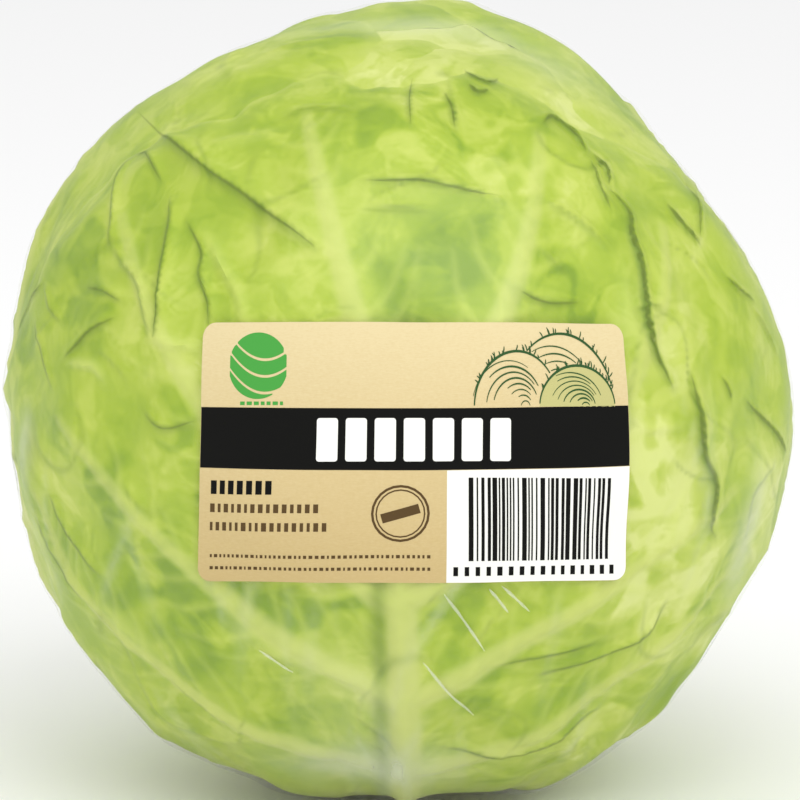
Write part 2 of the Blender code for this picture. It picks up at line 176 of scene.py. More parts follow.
def smooth_step(x):
    x = np.clip(x, 0.0, 1.0)
    return x * x * (3.0 - 2.0 * x)


def rising(value, start, end=1.0):
    """0 up to start, 1 from end on."""
    return smooth_step((value - start) / (end - start))


def between(ends, share):
    return ends[0] + (ends[1] - ends[0]) * share


def lengths(vectors):
    """Lengths of rows of vectors, none of them quite 0."""
    return np.maximum(np.linalg.norm(vectors, axis=1), 1e-9)


def angle_between(directions, axis):
    return np.degrees(np.arccos(np.clip(directions @ np.asarray(axis), -1.0, 1.0)))


class Plane:
    """A flat chart of the head seen from one direction: distances from its middle are angles from it."""

    def __init__(self, turn, tilt):
        ct, st = turned(turn - 90.0)
        ce, se = turned(tilt)
        self.middle = np.array((ct * ce, st * ce, se))
        self.right = np.array((-st, ct, 0.0))
        self.up = np.cross(self.middle, self.right)

    def directions(self, points):
        points = np.asarray(points, float)
        length = lengths(points)
        angle = np.radians(length)
        unit = points / length[:, None]
        sideways = unit[:, :1] * self.right + unit[:, 1:] * self.up
        return np.cos(angle)[:, None] * self.middle + np.sin(angle)[:, None] * sideways

    def points(self, directions):
        across = np.stack([directions @ self.right, directions @ self.up], axis=1)
        return across * (angle_between(directions, self.middle) / lengths(across))[:, None]


FRONT = Plane(0.0, FRONT_TILT)
DOWN = (0.0, 0.0, -1.0)


def head_radius(directions):
    radius = 1.0 / np.linalg.norm(directions / np.array(HEAD_RADII), axis=1)
    return radius - FOOT_DEPTH * bump(angle_between(directions, DOWN), FOOT_REACH)


def swollen(points):
    """Points moved in or out by the swellings, which fade away at the stump."""
    directions = points / np.linalg.norm(points, axis=1)[:, None]
    rise = np.zeros(len(points))
    for height, reach, around, behind in SWELLINGS:
        c, s = turned(around)
        cb, sb = turned(behind)
        axis = cb * (c * FRONT.right + s * FRONT.up) - sb * FRONT.middle
        rise += height * bump(angle_between(directions, axis), reach)
    rise *= smooth_step((angle_between(directions, DOWN) - STUMP_TAPER) / SWELLING_FADE)
    moved = points * (1.0 + rise / CENTRE_HEIGHT)[:, None]
    height = moved[:, 2] + CENTRE_HEIGHT
    pressed = PRESS_HEIGHT * np.exp(np.minimum(height, PRESS_HEIGHT) / PRESS_HEIGHT - 1.0)
    moved[:, 2] = np.where(height < PRESS_HEIGHT, pressed, height) - CENTRE_HEIGHT
    return moved


def photographed(points):
    """Pixels of the photograph where points round the head's middle show."""
    scale = PHOTO_PIXELS / PHOTO_WIDTH * CAMERA_DISTANCE / (CAMERA_DISTANCE - points @ FRONT.middle)
    return PHOTO_MIDDLE + np.stack([points @ FRONT.right, -(points @ FRONT.up)], axis=1) * scale[:, None]


def from_photo(pixels):
    """Chart points of the front leaf that show at the given pixels."""
    pixels = np.asarray(pixels, float)
    per_pixel = np.array((SEARCH_STEP, -SEARCH_STEP))
    chart = (pixels - PHOTO_MIDDLE) * per_pixel
    for _ in range(SEARCH_ROUNDS):
        seen = photographed(swollen(FRONT.directions(chart) * (CENTRE_HEIGHT + 0.5)))
        slope = np.cos(np.radians(np.minimum(lengths(chart), SEARCH_SLOPE)))
        pace = np.minimum(SEARCH_PACE / slope, SEARCH_STRIDE)
        chart = chart + (pixels - seen) * per_pixel * pace[:, None]
        chart *= np.minimum(1.0, SEARCH_LIMIT / lengths(chart))[:, None]
    return chart


def from_spot(points, x, y, wide, tall):
    """Distances of chart points from the middle of a spot in the photograph; its edge is at 1."""
    offset = (points - from_photo(((x, y),))[0]) * PIXELS_PER_DEGREE / (wide, tall)
    return np.linalg.norm(offset, axis=1)


class Waves:
    """A smooth random field over the head, of unit spread: plane waves of about one length in mm."""

    COUNT = 48

    def __init__(self, seed, length):
        random = np.random.default_rng(seed)
        axes = random.normal(size=(self.COUNT, 3))
        axes /= np.linalg.norm(axes, axis=1)[:, None]
        turns = 2.0 * math.pi * CENTRE_HEIGHT / length * random.uniform(0.7, 1.4, (self.COUNT, 1))
        self.waves = axes * turns
        self.phase = random.uniform(0.0, 2.0 * math.pi, self.COUNT)

    def __call__(self, directions):
        return np.sin(directions @ self.waves.T + self.phase).sum(axis=1) * math.sqrt(2.0 / self.COUNT)


def smooth_path(points, spacing):
    """A smooth line through the points, with a point about every spacing."""
    points = np.asarray(points, float)
    ends = np.concatenate([2 * points[:1] - points[1:2], points, 2 * points[-1:] - points[-2:-1]])
    found = []
    for k in range(len(points) - 1):
        before, start, end, after = ends[k : k + 4]
        steps = max(2, int(np.linalg.norm(end - start) / spacing) + 1)
        t = np.linspace(0.0, 1.0, steps, endpoint=False)[:, None]
        found.append(
            0.5 * (2 * start + (end - before) * t + (2 * before - 5 * start + 4 * end - after) * t**2
                   + (3 * start - 3 * end + after - before) * t**3)
        )
    found.append(points[-1:])
    return np.concatenate(found)


def traced(line, every, spacing):
    """A smooth line in the front chart through pixels of the photograph, looked up at every few of them."""
    return smooth_path(from_photo(smooth_path(line, every)), spacing)


def arc_through(start, middle, end, samples):
    """Points of the quadratic curve that passes through middle halfway."""
    start, middle, end = (np.array(p) for p in (start, middle, end))
    control = 2.0 * middle - 0.5 * (start + end)
    t = np.linspace(0.0, 1.0, samples)[:, None]
    return (1 - t) ** 2 * start + 2 * t * (1 - t) * control + t * t * end


def unit_tangents(path):
    along = np.gradient(path, axis=0)
    return along / lengths(along)[:, None]


def leftwards(path):
    """Unit vectors to the left of a path."""
    tangent = unit_tangents(path)
    return np.stack([-tangent[:, 1], tangent[:, 0]], axis=1)


def strip(path, half):
    """The outline of a strip along a path, from its half width at each point."""
    across = leftwards(path) * half[:, None]
    return np.concatenate([path - across, (path + across)[::-1]])


def beside(path, points, reach):
    """The points near a path: which they are, how far to its left, how far along, how far past its ends.

    The third is a share of the whole path.
    """
    low, high = path.min(axis=0) - reach, path.max(axis=0) + reach
    near = np.flatnonzero(((points > low) & (points < high)).all(axis=1))
    offset = points[near][:, None] - path[None]
    closest = np.einsum("npk,npk->np", offset, offset).argmin(axis=1)
    offset = offset[np.arange(len(near)), closest]
    tangent = unit_tangents(path)[closest]
    side = tangent[:, 0] * offset[:, 1] - tangent[:, 1] * offset[:, 0]
    ahead = np.einsum("ij,ij->i", tangent, offset)
    at_end = (closest == 0) | (closest == len(path) - 1)
    over = np.where(at_end, np.abs(ahead), 0.0)
    return near, side, closest / (len(path) - 1), over


# Laying one layer over another

CHART_AXIS = np.arange(-GRID_REACH, GRID_REACH + GRID_STEP / 2, GRID_STEP)


def grid_points(*axes):
    return np.stack(np.meshgrid(*axes, indexing="ij"), axis=-1).reshape(-1, 2)


def draped(need, cells):
    """A sheet over a field: the highest value within reach, blurred as far, so never below the field."""
    rows, columns = need.shape
    span = range(-cells, cells + 1)
    offsets = [(i, j) for i in span for j in span if i * i + j * j <= cells * cells]

    def shifted(field):
        padded = np.pad(field, cells, mode="edge")
        return [padded[cells + i : cells + i + rows, cells + j : cells + j + columns] for i, j in offsets]

    high = need
    for moved in shifted(need):
        high = np.maximum(high, moved)
    weights = [1.0 - (i * i + j * j) / (cells + 1) ** 2 for i, j in offsets]
    return sum(weight * moved for weight, moved in zip(weights, shifted(high))) / sum(weights)


def read_field(field, axes, points):
    """Values of a field between its grid points."""
    value = 0.0
    cell, share = [], []
    for axis, place in zip(axes, points.T):
        place = np.clip((place - axis[0]) / (axis[1] - axis[0]), 0.0, len(axis) - 1.001)
        cell.append(place.astype(int))
        share.append(place - cell[-1])
    for i in (0, 1):
        for j in (0, 1):
            weight = (share[0] if i else 1 - share[0]) * (share[1] if j else 1 - share[1])
            value = value + weight * field[cell[0] + i, cell[1] + j]
    return value


class Pile:
    """The dense head and the layers laid so far: how far out they reach in any direction."""

    def __init__(self):
        self.layers = []

    def reach(self, directions):
        found = head_radius(directions) + terraces(directions)
        for layer in self.layers:
            found = np.maximum(found, layer.reach(directions))
        return found


TERRACES = ((70.0, 38.0, 58.0), (205.0, 48.0, 50.0), (320.0, 60.0, 42.0))
TERRACE_STEP = 0.9
TERRACE_EDGE = 2.0


def terraces(directions):
    """Low steps where the dense head's own leaves overlap near its crown."""
    step = np.zeros(len(directions))
    for turn, tilt, reach in TERRACES:
        away = angle_between(directions, Plane(turn, tilt).middle)
        step += TERRACE_STEP * smooth_step((reach - away) / TERRACE_EDGE + 0.5)
    return step


# Meshes

SHARP = 50.0  # edges that turn by more than this stay crisp


def add_mesh(name, points, faces, material, tones, node):
    """A smooth piece of the head, from points in mm round its middle; tones are named values at them."""
    mesh = bpy.data.meshes.new(name)
    placed = (np.asarray(points) + (0.0, 0.0, CENTRE_HEIGHT)) * MM
    mesh.from_pydata(placed.tolist(), [], [tuple(f) for f in faces])
    mesh.shade_smooth()
    mesh.set_sharp_from_angle(angle=math.radians(SHARP))
    for key, values in tones.items():
        values = np.asarray(values, np.float32)
        mesh.attributes.new(key, "FLOAT", "POINT").data.foreach_set("value", values)
    mesh.materials.append(material)
    piece = bpy.data.objects.new(name, mesh)
    bpy.context.scene.collection.objects.link(piece)
    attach(piece, "root")
    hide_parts(node)
    return piece


def triangulated(outline, inside):
    """Delaunay triangles of the outline and the points inside it."""
    points = [Vector(p) for p in np.concatenate([outline, inside]).tolist()]
    found = delaunay_2d_cdt(points, [], [list(range(len(outline)))], 1, 1e-5)
    return np.array([tuple(p) for p in found[0]]), np.array([tuple(f) for f in found[2]])


def outward(directions, triangles):
    a, b, c = (directions[triangles[:, k]] for k in range(3))
    inward = np.einsum("ij,ij->i", np.cross(b - a, c - a), a) < 0
    fixed = triangles.copy()
    fixed[inward] = fixed[inward][:, ::-1]
    return fixed


def sheet_faces(triangles, count):
    """Faces of a closed sheet: its outer face, its inner face turned over, and the rim between them."""
    edges = np.concatenate([triangles[:, [0, 1]], triangles[:, [1, 2]], triangles[:, [2, 0]]])
    key = edges[:, 0] * count + edges[:, 1]
    rim = edges[~np.isin(key, edges[:, 1] * count + edges[:, 0])]
    sides = np.concatenate([
        np.stack([rim[:, 1], rim[:, 0], rim[:, 0] + count], axis=1),
        np.stack([rim[:, 1], rim[:, 0] + count, rim[:, 1] + count], axis=1),
    ])
    return np.concatenate([triangles, triangles[:, ::-1] + count, sides])


def add_sheet(name, directions, inner, outer, triangles, material, tones, node):
    """A closed sheet between two distances from the head's middle in each direction."""
    points = swollen(np.concatenate([directions * outer[:, None], directions * inner[:, None]]))
    doubled = {key: np.concatenate([values, values]) for key, values in tones.items()}
    faces = sheet_faces(outward(directions, triangles), len(directions))
    add_mesh(name, points, faces, material, doubled, node)


def rings(downs, columns):
    """Directions on level rings, at the given angles from straight down."""
    turns = np.linspace(0.0, 2.0 * math.pi, columns, endpoint=False)
    level = np.stack([np.cos(turns), np.sin(turns), np.zeros(columns)], axis=1)
    return np.concatenate([math.sin(d) * level - (0.0, 0.0, math.cos(d)) for d in downs])


def ring_triangles(count, columns, low=None, high=None):
    """Triangles between rings of points, closed by a point below them, above them or both."""
    index = np.arange(count * columns).reshape(count, columns)
    after = np.roll(index, -1, axis=1)
    a, b, c, d = index[:-1].ravel(), after[:-1].ravel(), after[1:].ravel(), index[1:].ravel()
    found = [np.stack([a, b, c], 1), np.stack([a, c, d], 1)]
    if low is not None:
        found.append(np.stack([np.full(columns, low), after[0], index[0]], 1))
    if high is not None:
        found.append(np.stack([index[-1], after[-1], np.full(columns, high)], 1))
    return np.concatenate(found)


# The wrapper leaves

# Pressed folds of the front leaf: height, half width in degrees, strength of its line's painted shade
# (below 0, a pale line: painted highlight along the fold, in the broad ones a pale rib band), pixels along
# it
CREASES = (
    (0.9, 2.2, 0.75, ((138, 110), (161, 131), (207, 168), (239, 189), (287, 225), (317, 248))),
    (0.5, 1.0, 0.7, ((129, 150), (117, 168), (112, 207), (110, 244))),
    (0.4, 0.9, 0.7, ((129, 147), (147, 152), (161, 179))),
    (0.6, 1.2, 0.9, ((170, 200), (170, 221), (163, 267), (161, 313), (158, 338))),
    (0.5, 1.0, 0.8, ((188, 221), (202, 251), (200, 274), (209, 303), (211, 324))),
    (0.5, 1.1, -0.5, ((202, 230), (220, 267), (236, 292), (246, 322))),
    (0.5, 1.0, 0.5, ((110, 244), (124, 264), (140, 283), (147, 313), (152, 340))),
    (0.4, 0.9, 0.6, ((9, 333), (21, 303), (41, 283))),
    (0.4, 0.8, 0.5, ((44, 285), (48, 308), (57, 319))),
    (0.4, 0.8, 0.6, ((32, 322), (39, 356), (48, 386))),
    (0.5, 1.0, -0.7, ((154, 341), (178, 346), (202, 349))),
    (0.5, 1.0, -0.8, ((67, 363), (92, 368), (99, 381))),
    (0.4, 1.0, 0.5, ((282, 115), (305, 108), (335, 109), (358, 113))),
    (0.5, 1.2, -0.4, ((211, 145), (243, 136), (275, 131))),
    (0.9, 1.2, 1.0, ((541, 125), (549, 116), (562, 117), (574, 129), (588, 150))),
    (0.6, 1.0, 0.8, ((596, 150), (611, 168), (613, 182))),
    (0.5, 0.9, 0.6, ((594, 158), (602, 184), (613, 207))),
    (0.8, 1.1, 1.1, ((613, 187), (631, 209), (633, 233), (643, 264), (647, 301), (655, 344), (677, 387))),
    (0.4, 0.9, 0.5, ((639, 307), (652, 304), (666, 309))),
    (0.6, 1.0, 0.8, ((674, 199), (684, 217), (704, 242))),
    (0.5, 0.9, 0.6, ((692, 180), (698, 201), (704, 235))),
    (0.5, 0.9, 0.6, ((727, 276), (739, 289), (753, 300))),
    (0.4, 0.8, 0.5, ((755, 311), (770, 331), (780, 352))),
    (0.5, 1.2, 0.4, ((547, 201), (576, 215), (602, 238), (611, 250))),
    (0.4, 1.0, 0.4, ((541, 246), (558, 262), (572, 274))),
    (0.4, 0.9, -0.5, ((484, 160), (507, 166))),
    (0.4, 0.9, -0.5, ((482, 191), (502, 201))),
    (0.5, 1.0, 0.7, ((367, 182), (430, 182), (500, 195))),
    (0.4, 1.0, 0.5, ((367, 210), (400, 208), (430, 210))),
    (0.9, 1.6, 1.0, ((695, 374), (704, 421), (708, 453), (718, 485), (713, 522), (718, 537))),
    (0.6, 1.1, 0.8, ((752, 400), (772, 426), (785, 452))),
    (0.4, 1.0, 0.6, ((727, 376), (732, 388), (736, 400))),
    (0.3, 1.4, 0.5, ((750, 545), (754, 499), (772, 462))),
    (0.4, 1.2, -0.4, ((633, 430), (660, 430), (693, 427))),
    (0.5, 1.0, 0.9, ((546, 680), (602, 665), (653, 639), (673, 611))),
    (0.5, 1.0, 0.9, ((449, 754), (510, 756), (551, 744), (602, 718))),
    (0.3, 0.8, 0.5, ((179, 688), (204, 708), (230, 718))),
    (0.6, 1.4, 0.9, ((31, 519), (45, 545), (59, 566), (82, 597))),
    (0.5, 1.0, 0.8, ((47, 499), (62, 530), (98, 573))),
    (0.5, 1.2, 0.7, ((62, 356), (76, 342), (90, 329), (113, 317))),
    (0.4, 1.0, 0.6, ((141, 411), (152, 422), (168, 427), (195, 419))),
    (0.6, 1.0, 1.0, ((467, 62), (476, 74), (490, 78), (500, 68))),
    (0.5, 0.9, 0.9, ((470, 84), (478, 92), (488, 88))),
    (0.4, 0.9, 0.7, ((446, 93), (453, 108), (456, 128))),
    (0.4, 1.0, 0.6, ((414, 70), (411, 96), (412, 128))),
    (0.4, 1.0, 0.6, ((86, 286), (104, 290), (122, 300))),
    (0.5, 1.2, 0.8, ((503, 668), (562, 659), (600, 650))),
    (0.4, 1.0, 0.7, ((521, 290), (545, 300), (580, 300))),
    (0.3, 2.4, -0.6, ((102, 606), (126, 632), (153, 662))),
    (0.3, 2.4, -0.6, ((219, 616), (286, 662), (388, 698))),
)

# Lighter and deeper patches of the front leaf, partly its own tone and partly painted light and shade:
# pixel, half width, half height, change of tone
TONE_AND_SHADE_PATCHES = (
    (428, 268, 60, 44, -0.24),
    (410, 262, 26, 20, -0.18),
    (388, 100, 28, 36, -0.34),
    (205, 615, 70, 46, -0.28),
    (300, 610, 60, 30, -0.16),
    (120, 560, 60, 50, -0.12),
    (625, 500, 50, 80, 0.14),
    (230, 350, 40, 30, 0.1),
    (600, 560, 60, 50, 0.12),
    (760, 520, 30, 80, 0.2),
    (330, 230, 40, 36, -0.12),
    (200, 270, 30, 24, -0.1),
    (650, 235, 66, 44, 0.2),
    (560, 455, 60, 30, 0.1),
    (740, 400, 30, 90, 0.16),
    (640, 620, 60, 40, 0.12),
    (530, 215, 40, 40, -0.14),
    (20, 340, 40, 34, -0.24),
    (700, 560, 54, 110, 0.2),
    (14, 300, 30, 60, -0.3),
    (400, 300, 36, 40, -0.1),
    (172, 388, 36, 34, 0.14),
    (182, 442, 26, 14, -0.26),
    (105, 302, 22, 20, -0.2),
    (145, 590, 32, 44, -0.16),
    (58, 440, 22, 12, -0.2),
    (452, 120, 14, 34, -0.3),
    (80, 262, 36, 36, -0.34),
    (92, 325, 44, 32, -0.2),
    (320, 612, 34, 24, -0.4),
    (240, 600, 44, 26, -0.3),
    (190, 650, 36, 34, -0.24),
    (115, 500, 22, 60, -0.34),
    (610, 655, 60, 26, -0.08),
    (460, 615, 32, 34, -0.34),
    (500, 730, 56, 36, -0.3),
    (580, 700, 50, 24, -0.08),
    (690, 640, 50, 50, 0.24),
    (300, 735, 44, 24, -0.2),
    (170, 720, 40, 24, -0.2),
    (556, 294, 44, 15, -0.34),
    (560, 150, 20, 26, -0.2),
    (495, 170, 30, 16, 0.2),
    (668, 495, 44, 100, 0.4),
    (652, 440, 26, 40, 0.2),
    (175, 462, 30, 30, 0.1),
    (640, 140, 40, 60, 0.1),
    (690, 330, 40, 70, 0.16),
    (300, 290, 34, 30, 0.14),
    (520, 600, 26, 20, 0.1),
    (540, 640, 30, 22, 0.16),
    (680, 590, 60, 46, 0.3),
    (645, 480, 20, 60, 0.26),
    (130, 590, 50, 40, -0.14),
    (350, 690, 40, 40, 0.16),
    (450, 690, 30, 30, 0.1),
    (400, 775, 110, 22, 0.3),
    (600, 740, 50, 20, 0.3),
    (130, 130, 60, 36, -0.12),
    (400, 50, 200, 26, 0.06),
)
PATCH_STRAY = 2.6  # degrees by which their outlines stray
PATCH_REACH = 1.35
PATCH_EDGE = 0.8
FRONT_TONE = 0.49
BACK_TONES = (0.68, 0.55, 0.7, 0.52, 0.56)
TONE_SPREAD = 0.09
TONE_RANGE = (0.08, 1.2)
FOLD_RISE = 1.8  # times the listed heights
STEEPNESS = 0.4  # how much narrower a fold's steep side is than its gentle one
SWELL, SWELL_BROAD, SWELL_FINE = 0.34, 0.16, 0.05  # a leaf's rise: its mean, its broad and fine change
CRUMPLE_FRONT, CRUMPLE_BACK = 0.35, 0.55
CRUMPLE_SIDES = (0.34, 0.1)  # reach of a crumple's gentle side and of its steep one
# How dark the painted shade is at the foot of a crumple's steep side
CRUMPLE_SHADE_PAINT = 0.36
BASE_REACH = 24.0  # a leaf lies flatter and paler over this far from the stump
BASE_STAND = 0.25


def branches(path, seed):
    """Small veins that leave a rib on both sides and curve towards its tip."""
    random = np.random.default_rng(seed)
    tangents = unit_tangents(path)
    length = np.linalg.norm(np.diff(path, axis=0), axis=1).sum()
    found = []
    place = random.uniform(0.08, 0.16)
    side = 1 if random.random() < 0.5 else -1
    while place < 0.96:
        k = int(place * (len(path) - 1))
        c, s = turned(side * random.uniform(42.0, 62.0))
        t = tangents[k]
        out = np.array((c * t[0] - s * t[1], s * t[0] + c * t[1]))
        reach = random.uniform(0.7, 1.2) * (7.0 + 0.16 * length * (1.0 - place))
        found.append(smooth_path([path[k], path[k] + reach * (0.52 * out + 0.04 * t),
                                  path[k] + reach * (0.86 * out + 0.3 * t)], 1.2))
        side = -side
        place += random.uniform(2.2, 4.2) / length
    return found


def ridge(side, half, core, narrow, broad):
    """The section of a rib: a narrow core on broader flanks."""
    return core * bump(side, narrow * half) + (1.0 - core) * bump(side, broad * half)


class Leaf:
    """One wrapper leaf in its chart: outline, relief and tones."""

    def __init__(self, place, turn, tilt, reach_up, reach_side, folds):
        self.place = place
        self.front = turn == 0.0
        self.plane = Plane(turn, tilt)
        self.phase = math.radians(turn)
        self.tilt, self.reach_up, self.reach_side = tilt, reach_up, reach_side
        self.ribs = [arc_through(*rib, 40) for rib in RIBS]
        self.midrib = smooth_path(MIDRIB, 1.5)
        self.veins = branches(self.midrib, 10 + place)
        for k, rib in enumerate(self.ribs):
            self.veins += branches(rib, 100 * place + k)
        self.broad = Waves(20 + place, 46.0)
        self.fine = Waves(30 + place, 15.0)
        self.wander = Waves(40 + place, 34.0)
        self.mottle = Waves(50 + place, 26.0)
        self.strays = (Waves(55 + place, 13.0), Waves(65 + place, 13.0))
        if self.front:
            self.folds = [
                (FOLD_RISE * high, wide, dark, traced(line, 8.0, 0.9)) for high, wide, dark, line in CREASES
            ]
        else:
            self.folds = self.scattered_folds(folds)

    def scattered_folds(self, count):
        random = np.random.default_rng(60 + self.place)
        found = []
        for _ in range(count):
            line = [random.uniform((-66.0, -40.0), (66.0, 58.0))]
            heading = random.uniform(0.0, 360.0)
            bend = random.uniform(-24.0, 24.0)
            for _ in range(int(random.integers(3, 7))):
                c, s = turned(heading)
                line.append(line[-1] + random.uniform(4.0, 7.5) * np.array((c, s)))
                heading += bend + random.uniform(-26.0, 26.0)
            form = (random.uniform(0.35, 0.95), random.uniform(0.9, 1.9), random.uniform(-0.6, 0.9))
            found.append((*form, smooth_path(line, 0.9)))
        return found

    def margin(self, around):
        c, s = np.abs(np.cos(around)), np.sin(around)
        reach = np.where(s > 0, self.reach_up, LEAF_CLASP + self.tilt)
        power = np.where(s > 0, 2.0, BASE_TAPER)
        plain = ((c / self.reach_side) ** power + (np.abs(s) / reach) ** power) ** (-1.0 / power)
        waves = MARGIN_WAVE * np.sin(MARGIN_WAVES * around + self.phase)
        for times, turns, share in RUFFLES:
            waves += RUFFLE * share * np.sin(times * around + turns * self.phase)
        return plain + waves * np.maximum(0.0, s + WAVE_FADE)

    def edge_share(self, points):
        return np.linalg.norm(points, axis=1) / self.margin(np.arctan2(points[:, 1], points[:, 0]))

    def holds(self, points, directions):
        return (self.edge_share(points) <= 1.0) & (angle_between(directions, DOWN) >= LEAF_BASE)

    def outline(self):
        """The edge in the chart: the margin, cut back to the ring round the stump."""
        around = np.linspace(-math.pi, math.pi, OUTLINE_POINTS, endpoint=False)
        ray = np.stack([np.cos(around), np.sin(around)], axis=1)
        reach = self.margin(around)
        for _ in range(OUTLINE_ROUNDS):
            low = angle_between(self.plane.directions(ray * reach[:, None]), DOWN) < LEAF_BASE
            reach = reach - OUTLINE_STEP * low
        return ray * reach[:, None]

    def rib_height(self, points):
        """Heights of the ribs and veins, how much of each shows, and the painted shade on the midrib's
        flank.
        """
        height, rib, vein, painted_flank_shade = (np.zeros(len(points)) for _ in range(4))
        near, side, along, over = beside(self.midrib, points, MIDRIB_SPAN)
        tall, half = (between(ends, along) for ends in MIDRIB_FORM)
        fade = bump(over, 3.0)
        height[near] = tall * ridge(side, half, 0.62, 0.55, 1.5) * fade
        rib[near] = smooth_step((1.15 * half - np.abs(side)) / (0.5 * half)) * fade
        # Painted shade along one flank of the raised midrib
        painted_flank_shade[near] = 0.7 * bump(side - 1.25 * half, 0.5 * half) * fade * smooth_step(3.0 * (1.0 - along))
        for path in self.ribs:
            near, side, along, over = beside(path, points, RIB_SPAN)
            tall, half = (between(ends, along) for ends in RIB_FORM)
            fade = bump(over, 2.0)
            height[near] = np.maximum(height[near], tall * ridge(side, half, 0.6, 0.5, 1.6) * fade)
            band = smooth_step((0.95 * half - np.abs(side)) / (0.6 * half))
            rib[near] = np.maximum(rib[near], band * fade * (1.0 - 0.5 * along))
        for path in self.veins:
            near, side, along, over = beside(path, points, VEIN_SPAN)
            shape = bump(side, between(VEIN_WIDTHS, along)) * bump(over, 0.8) * (1.0 - 0.6 * along)
            height[near] = np.maximum(height[near], height[near] * 0.8 + VEIN_HEIGHT * shape)
            vein[near] = np.maximum(vein[near], shape)
        return height, rib, vein, painted_flank_shade

    def fold_height(self, points):
        """Heights of the pressed folds, and the painted shade of their lines; lines below 0 are painted
        highlight.
        """
        height, line = np.zeros(len(points)), np.zeros(len(points))
        for high, wide, dark, path in self.folds:
            near, side, along, over = beside(path, points, 3.2 * wide + 1.0)
            ends = bump(over, 1.0) * np.sqrt(np.clip(4.2 * along * (1.0 - along) + 0.08, 0.0, 1.0))
            half = np.where(side > 0, wide, wide * STEEPNESS)
            height[near] = np.maximum(height[near], high * bump(side, half) * ends)
            if dark > 0:
                # Painted shade: darkest just past the ridge on its steep side, and fading from there
                shade = np.where(side < 0.0, np.exp(side / (0.8 * wide)), bump(side, 0.15))
                shown = 0.7 * shade + 0.6 * bump(side + 0.3, 0.4)
            else:
                # Painted highlight along the fold, towards its gentle side
                shown = bump(side - 0.2 * wide, wide * 0.9)
            line[near] += dark * shown * ends
        return height, line

    def tone(self, points, directions, mottle):
        """How light the leaf is; on the front leaf this includes patches of painted light and shade."""
        tone = (FRONT_TONE if self.front else BACK_TONES[self.place]) + TONE_SPREAD * mottle
        if self.front:
            strays = np.stack([stray(directions) for stray in self.strays], axis=1)
            strayed = points + PATCH_STRAY * strays
            for x, y, wide, tall, change in TONE_AND_SHADE_PATCHES:
                inside = PATCH_REACH - from_spot(strayed, x, y, wide, tall)
                tone = tone + change * smooth_step(inside / PATCH_EDGE)
        return np.clip(tone, *TONE_RANGE)

    def relief(self, points):
        """How far the leaf stands off what is below it, how thick it is, and its tones."""
        directions = self.plane.directions(points)
        share = self.edge_share(points)
        around = np.arctan2(points[:, 1], points[:, 0])
        free = smooth_step((np.sin(around) + 0.75) / 0.5)  # 0 where the leaf clasps the stump
        base = smooth_step((angle_between(directions, DOWN) - LEAF_BASE) / BASE_REACH)
        ribs, rib, vein, painted_flank_shade = self.rib_height(points)
        folds, line = self.fold_height(points)

        mottle, crossing = self.mottle(directions), self.wander(directions)
        pressed = smooth_step(mottle * 0.7 + 0.25)
        gentle, steep = (bump(crossing, reach) for reach in CRUMPLE_SIDES)
        crumple = np.where(crossing > 0.0, gentle, steep) * pressed
        # Painted shade: the folds' lines, the midrib's flank and the foot of each crumple's steep side
        line = line + painted_flank_shade + CRUMPLE_SHADE_PAINT * bump(crossing + 0.14, 0.08) * pressed
        swell = SWELL + SWELL_BROAD * self.broad(directions) + SWELL_FINE * self.fine(directions)
        swell = np.clip(swell, 0.0, None) + (CRUMPLE_FRONT if self.front else CRUMPLE_BACK) * crumple
        swell *= 1.0 - 0.95 * free * rising(share, SMOOTH_FROM, SMOOTH_TO)

        wave = 0.5 + 0.5 * np.sin(MARGIN_WAVES * around + self.phase + 1.0)
        ruffled = 0.5 + 0.5 * np.sin(31 * around + 2.0 * self.phase)
        lift = MARGIN_LIFT * (0.7 * wave + 0.3 * ruffled) * rising(share, LIFT_START)
        stand = LEAF_GAP + (swell + folds) * between((BASE_STAND, 1.0), base) + lift * free
        stand *= 1.0 - FLATTENED * free * rising(share, FLAT_FROM)
        stand -= MARGIN_SINK * free * rising(share, MARGIN_FROM)
        thick = LEAF_THICKNESS * (1.0 - THINNED * rising(share, THIN_FROM) * free)
        tones = {
            "rib": rib,
            "vein": vein,
            "line": line,
            "tone": self.tone(points, directions, mottle),
            "edge": free * rising(share, PALE_FROM),
            "base": 1.0 - base,
        }
        return stand, thick + ribs, tones


class LaidLeaf:
    """A wrapper leaf over the pile: its outer face as a field in its chart."""

    def __init__(self, leaf, pile):
        self.leaf = leaf
        points = grid_points(CHART_AXIS, CHART_AXIS)
        directions = leaf.plane.directions(points)
        shape = (len(CHART_AXIS), len(CHART_AXIS))
        need = pile.reach(directions).reshape(shape)
        close = rising(leaf.edge_share(points), CLOSE_FROM).reshape(shape)
        self.under = draped(need, LEAF_DRAPE) * (1.0 - close) + draped(need, 1) * close
        stand, thick, _ = leaf.relief(points)
        self.outer = self.under + (stand + thick).reshape(shape)
        self.axes = (CHART_AXIS, CHART_AXIS)

    def reach(self, directions):
        points = self.leaf.plane.points(directions)
        inside = self.leaf.holds(points, directions)
        found = np.zeros(len(directions))
        found[inside] = read_field(self.outer, self.axes, points[inside])
        return found


def hexagon_points(low, high, spacing):
    """Points of an even triangular grid over a rectangle."""
    rows = np.arange(low[1], high[1], spacing * math.sqrt(0.75))
    columns = np.arange(low[0], high[0], spacing)
    grid = np.stack(np.meshgrid(columns, rows), axis=-1)
    grid[1::2, :, 0] += spacing / 2.0
    return grid.reshape(-1, 2)


def even_points(outline, spacing):
    """Points about a spacing apart along a closed outline."""
    closed = np.concatenate([outline, outline[:1]])
    along = np.concatenate([[0.0], np.cumsum(np.linalg.norm(np.diff(closed, axis=0), axis=1))])
    places = np.linspace(0.0, along[-1], max(12, int(along[-1] / spacing)), endpoint=False)
    return np.stack([np.interp(places, along, closed[:, k]) for k in (0, 1)], axis=1)


EDGE_ROOM = 0.55  # points inside a leaf keep this share of their spacing away from its edge


